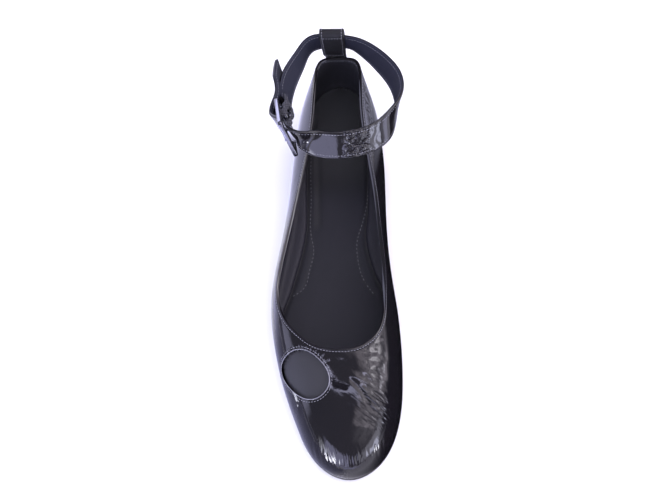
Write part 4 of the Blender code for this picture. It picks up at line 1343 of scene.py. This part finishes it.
def strapLine():
    b, s = buckleShape, strapShape
    side = buckleAlong.cross(Vector((0, 0, 1))).normalized()
    lean = math.degrees(math.asin(buckleUp.dot(side if side.x < 0 else -side)))
    bar, rail = buckleBar, buckleRail
    under = -(b["thickness"] / 2 + s["thickness"] / 2 + 2.6)
    over = b["ring"] + b["pin"] + 0.4 + s["thickness"] / 2
    rows = np.array((
        (*buckleSpot(bar - 7.0, -1.8), lean),
        (*buckleSpot(bar - 13.0, -1.9), lean + 5),
        *s["loop"],
        (*buckleSpot(rail + 0.5, under), lean - 11),
        (*buckleSpot((rail + bar) / 2, (under + over) / 2), lean - 14),
        (*buckleSpot(bar, over), lean),
        *s["tip"],
    ))
    knots = lengthsAlong(rows[:, :3])
    at = np.linspace(0, knots[-1], s["steps"] + 1)
    dense = splineThrough(knots, rows, at)
    centre, turn = dense[:, :3], np.radians(dense[:, 3:])
    ahead = unit(waysAlong(centre))
    level = unit(np.cross((0, 0, 1.0), ahead))
    across = np.cross(ahead, level) * np.cos(turn) + level * np.sin(turn)
    return centre, across, np.cross(ahead, across), at


strapCentre, strapAcross, strapOut, strapRun = strapLine()


def makeStrap():
    s = strapShape
    left = strapRun[-1] - strapRun
    widths = s["width"] * np.minimum(1.0, 0.06 + 0.94 * (left / s["point"]) ** 0.85)
    front = (strapCentre[:, 1] < 66) & (strapRun > 120) & (left > 70)

    def shape(i, along, side, out):
        half = widths[i] / 2
        crown = 0.03 * (1 - (side / half) ** 2) * np.sign(out)
        groove = -0.08 * np.exp(-(((np.abs(side) - half + s["stitchInset"]) / 0.45) ** 2)) * np.sign(out)
        push = crown + (groove if half > 4 else 0)
        if front[i]:
            x = strapCentre[i, 0]
            for place, slope, depth in s["wrinkles"]:
                line = x - place - slope * side / half - 0.6 * np.sin(side * 1.1 + place)
                push = push + depth * np.exp(-((line / 1.0) ** 2)) * (0.5 + 0.5 * np.cos(side * 0.5 + place))
        return push

    bm = bandMesh(strapCentre, strapAcross, strapOut, widths, s["thickness"], 15, shape)
    flexed = bm.verts.layers.float.new("flexed")
    for v in bm.verts:
        x, y = v.co.x / mm + middle[0], v.co.y / mm + middle[1]
        v[flexed] = math.exp(-(((x - 14.5) / 7.0) ** 6)) if y < 62 else 0.0
    piece = finishMesh(bm, "ankleStrapBand", ["strapPatent", "strapLining"], smooth=60)
    paintFaces(piece, lambda out: 1 if out * strapSide < -0.2 else 0)
    addPiece(piece, "strap_leather", "ankle_strap")
    bm = bmesh.new()
    keep = slice(4, -4)
    for side in (-1, 1):
        offset = side * np.maximum(widths / 2 - s["stitchInset"], 0.2)
        for face in (1, -1):
            lift = face * (s["thickness"] / 2 + 0.04)
            points = strapCentre + strapAcross * offset[:, None] + strapOut * lift
            addStitches(bm, points[keep], strapOut[keep] * face, 1.75, (1.1, 0.16))
    addPiece(finishMesh(bm, "ankleStrapStitches", ["thread"]), "strap_leather")


# which way the strap's outer face looks at the middle of its front
middleRow = int(np.argmin(np.linalg.norm(strapCentre - np.array((1.0, 49.2, 87.8)), axis=1)))
strapSide = 1.0 if strapOut[middleRow][1] < 0 else -1.0


def boxCutter(name, size, along):
    bm = bmesh.new()
    bmesh.ops.create_cube(bm, size=1)
    for v in bm.verts:
        local = [[v.co.x * size[0] + along, v.co.y * size[1], v.co.z * size[2]]]
        v.co = Vector((inBuckle(local)[0] - middle) * mm)
    return finishMesh(bm, name, [], smooth=0)


elasticShape = {"width": 14.0, "thickness": 1.3, "gap": 0.35, "slot": 1.6}


def makeElastic():
    b, s = buckleShape, elasticShape
    bar = buckleBar
    away = s["gap"] + s["thickness"] / 2
    offset, radius = b["thickness"] / 2 + away, b["rear"] / 2 + away
    tail = -(1.8 + strapShape["thickness"] / 2 + s["thickness"] / 2 + 0.45)
    turns = [math.radians(t) for t in range(-120, 121, 30)]
    line = [(bar - 11.0, tail), (bar - 8.0, tail), (bar - 4.0, tail + 0.3)]
    line += [(bar + radius * math.cos(t), offset * math.sin(t)) for t in turns]
    line += [(bar - 3.0, offset * 0.7), (bar - 4.8, 0.6)]
    dense = denseLine(line, 90)
    centre = inBuckle(np.column_stack((dense[:, 0], np.zeros(len(dense)), dense[:, 1])))
    across = np.tile(np.array(buckleUp), (len(centre), 1))
    outward = np.cross(unit(waysAlong(centre)), across)
    bm = bandMesh(centre, across, outward, np.full(len(centre), s["width"]), s["thickness"], 15)
    piece = finishMesh(bm, "strapElasticBand", ["web"], smooth=60)
    cutWith(piece, boxCutter("elasticSlot", (11.0, 2 * b["pin"] + s["slot"], 12.0), bar), 60)
    addPiece(piece, "elastic_web", "strap_elastic")


def roundedRectangle(low, high, radius):
    points = []
    for right, top, start in ((True, True, 0), (False, True, 90), (False, False, 180), (True, False, 270)):
        cx = high[0] - radius if right else low[0] + radius
        cy = high[1] - radius if top else low[1] + radius
        for k in range(9):
            turn = math.radians(start + 90 * k / 8)
            points.append((cx + radius * math.cos(turn), cy + radius * math.sin(turn)))
    return np.array(points)


def makeBuckle():
    b = buckleShape
    a, h, half = b["length"] / 2, b["height"] / 2, b["thickness"] / 2
    soft, notch = b["soften"], b["notchRadius"]

    def ring(inset, z, inner):
        if inner:
            low = b["rear"] - a - inset, b["side"] - h - inset
            high = a - b["front"] + inset, h - b["side"] + inset
            flat = roundedRectangle(low, high, b["innerCorner"] + inset)
        else:
            flat = roundedRectangle((inset - a, inset - h), (a - inset, h - inset), b["corner"] - inset)
        return np.column_stack((flat, np.full(len(flat), z)))

    arc = [math.radians(t) for t in (0, 22.5, 45, 67.5, 90)]
    rings = []
    # over the outer edge, down the inner one, and back underneath
    for inner, side in ((False, 1), (True, 1), (True, -1), (False, -1)):
        for t in arc if inner == (side < 0) else arc[::-1]:
            rings.append(ring(soft * (1 - math.cos(t)), side * (half - soft + soft * math.sin(t)), inner))
    bm = gridMesh([inBuckle(r) for r in rings], closedAcross=True, closedAlong=True)
    piece = finishMesh(bm, "buckleFrameRails", ["nickel"], smooth=40)
    turns = np.linspace(0, 2 * math.pi, 24, endpoint=False)
    sides, heights = notch * np.cos(turns), half + 0.25 + notch * np.sin(turns)
    rod = [np.column_stack((np.full(24, x), sides, heights)) for x in (a - b["front"] - 1, a + 1)]
    bm = gridMesh([inBuckle(r) for r in rod], closedAcross=True)
    closeEnds(bm)
    cutWith(piece, finishMesh(bm, "notchCutter", [], smooth=0), 40)
    addPiece(piece, "black_nickel", "buckle_frame")


def makePin():
    b = buckleShape
    bar, rail, ring = buckleBar, buckleRail, b["ring"]
    rest = b["thickness"] / 2 - b["notch"] + b["gap"] + b["pin"]
    turns = [math.radians(t) for t in range(310, -1, -15)]
    line = [(bar + ring * math.cos(t), ring * math.sin(t)) for t in turns]
    line += [(bar + ring + 3.0, 0.3), (2.0, 0.7), (rail - 3.0, rest), (rail + 1.4, rest)]
    dense = denseLine(line, 110)
    points = inBuckle(np.column_stack((dense[:, 0], np.zeros(len(dense)), dense[:, 1])))
    bm = tubeAlong(points, b["pin"], 14, np.tile(np.array(buckleUp), (len(points), 1)))
    addPiece(finishMesh(bm, "bucklePin", ["nickel"], smooth=50), "black_nickel", "buckle_prong")


for makePart in (makeTab, makeStrap, makeElastic, makeBuckle, makePin):
    makePart()
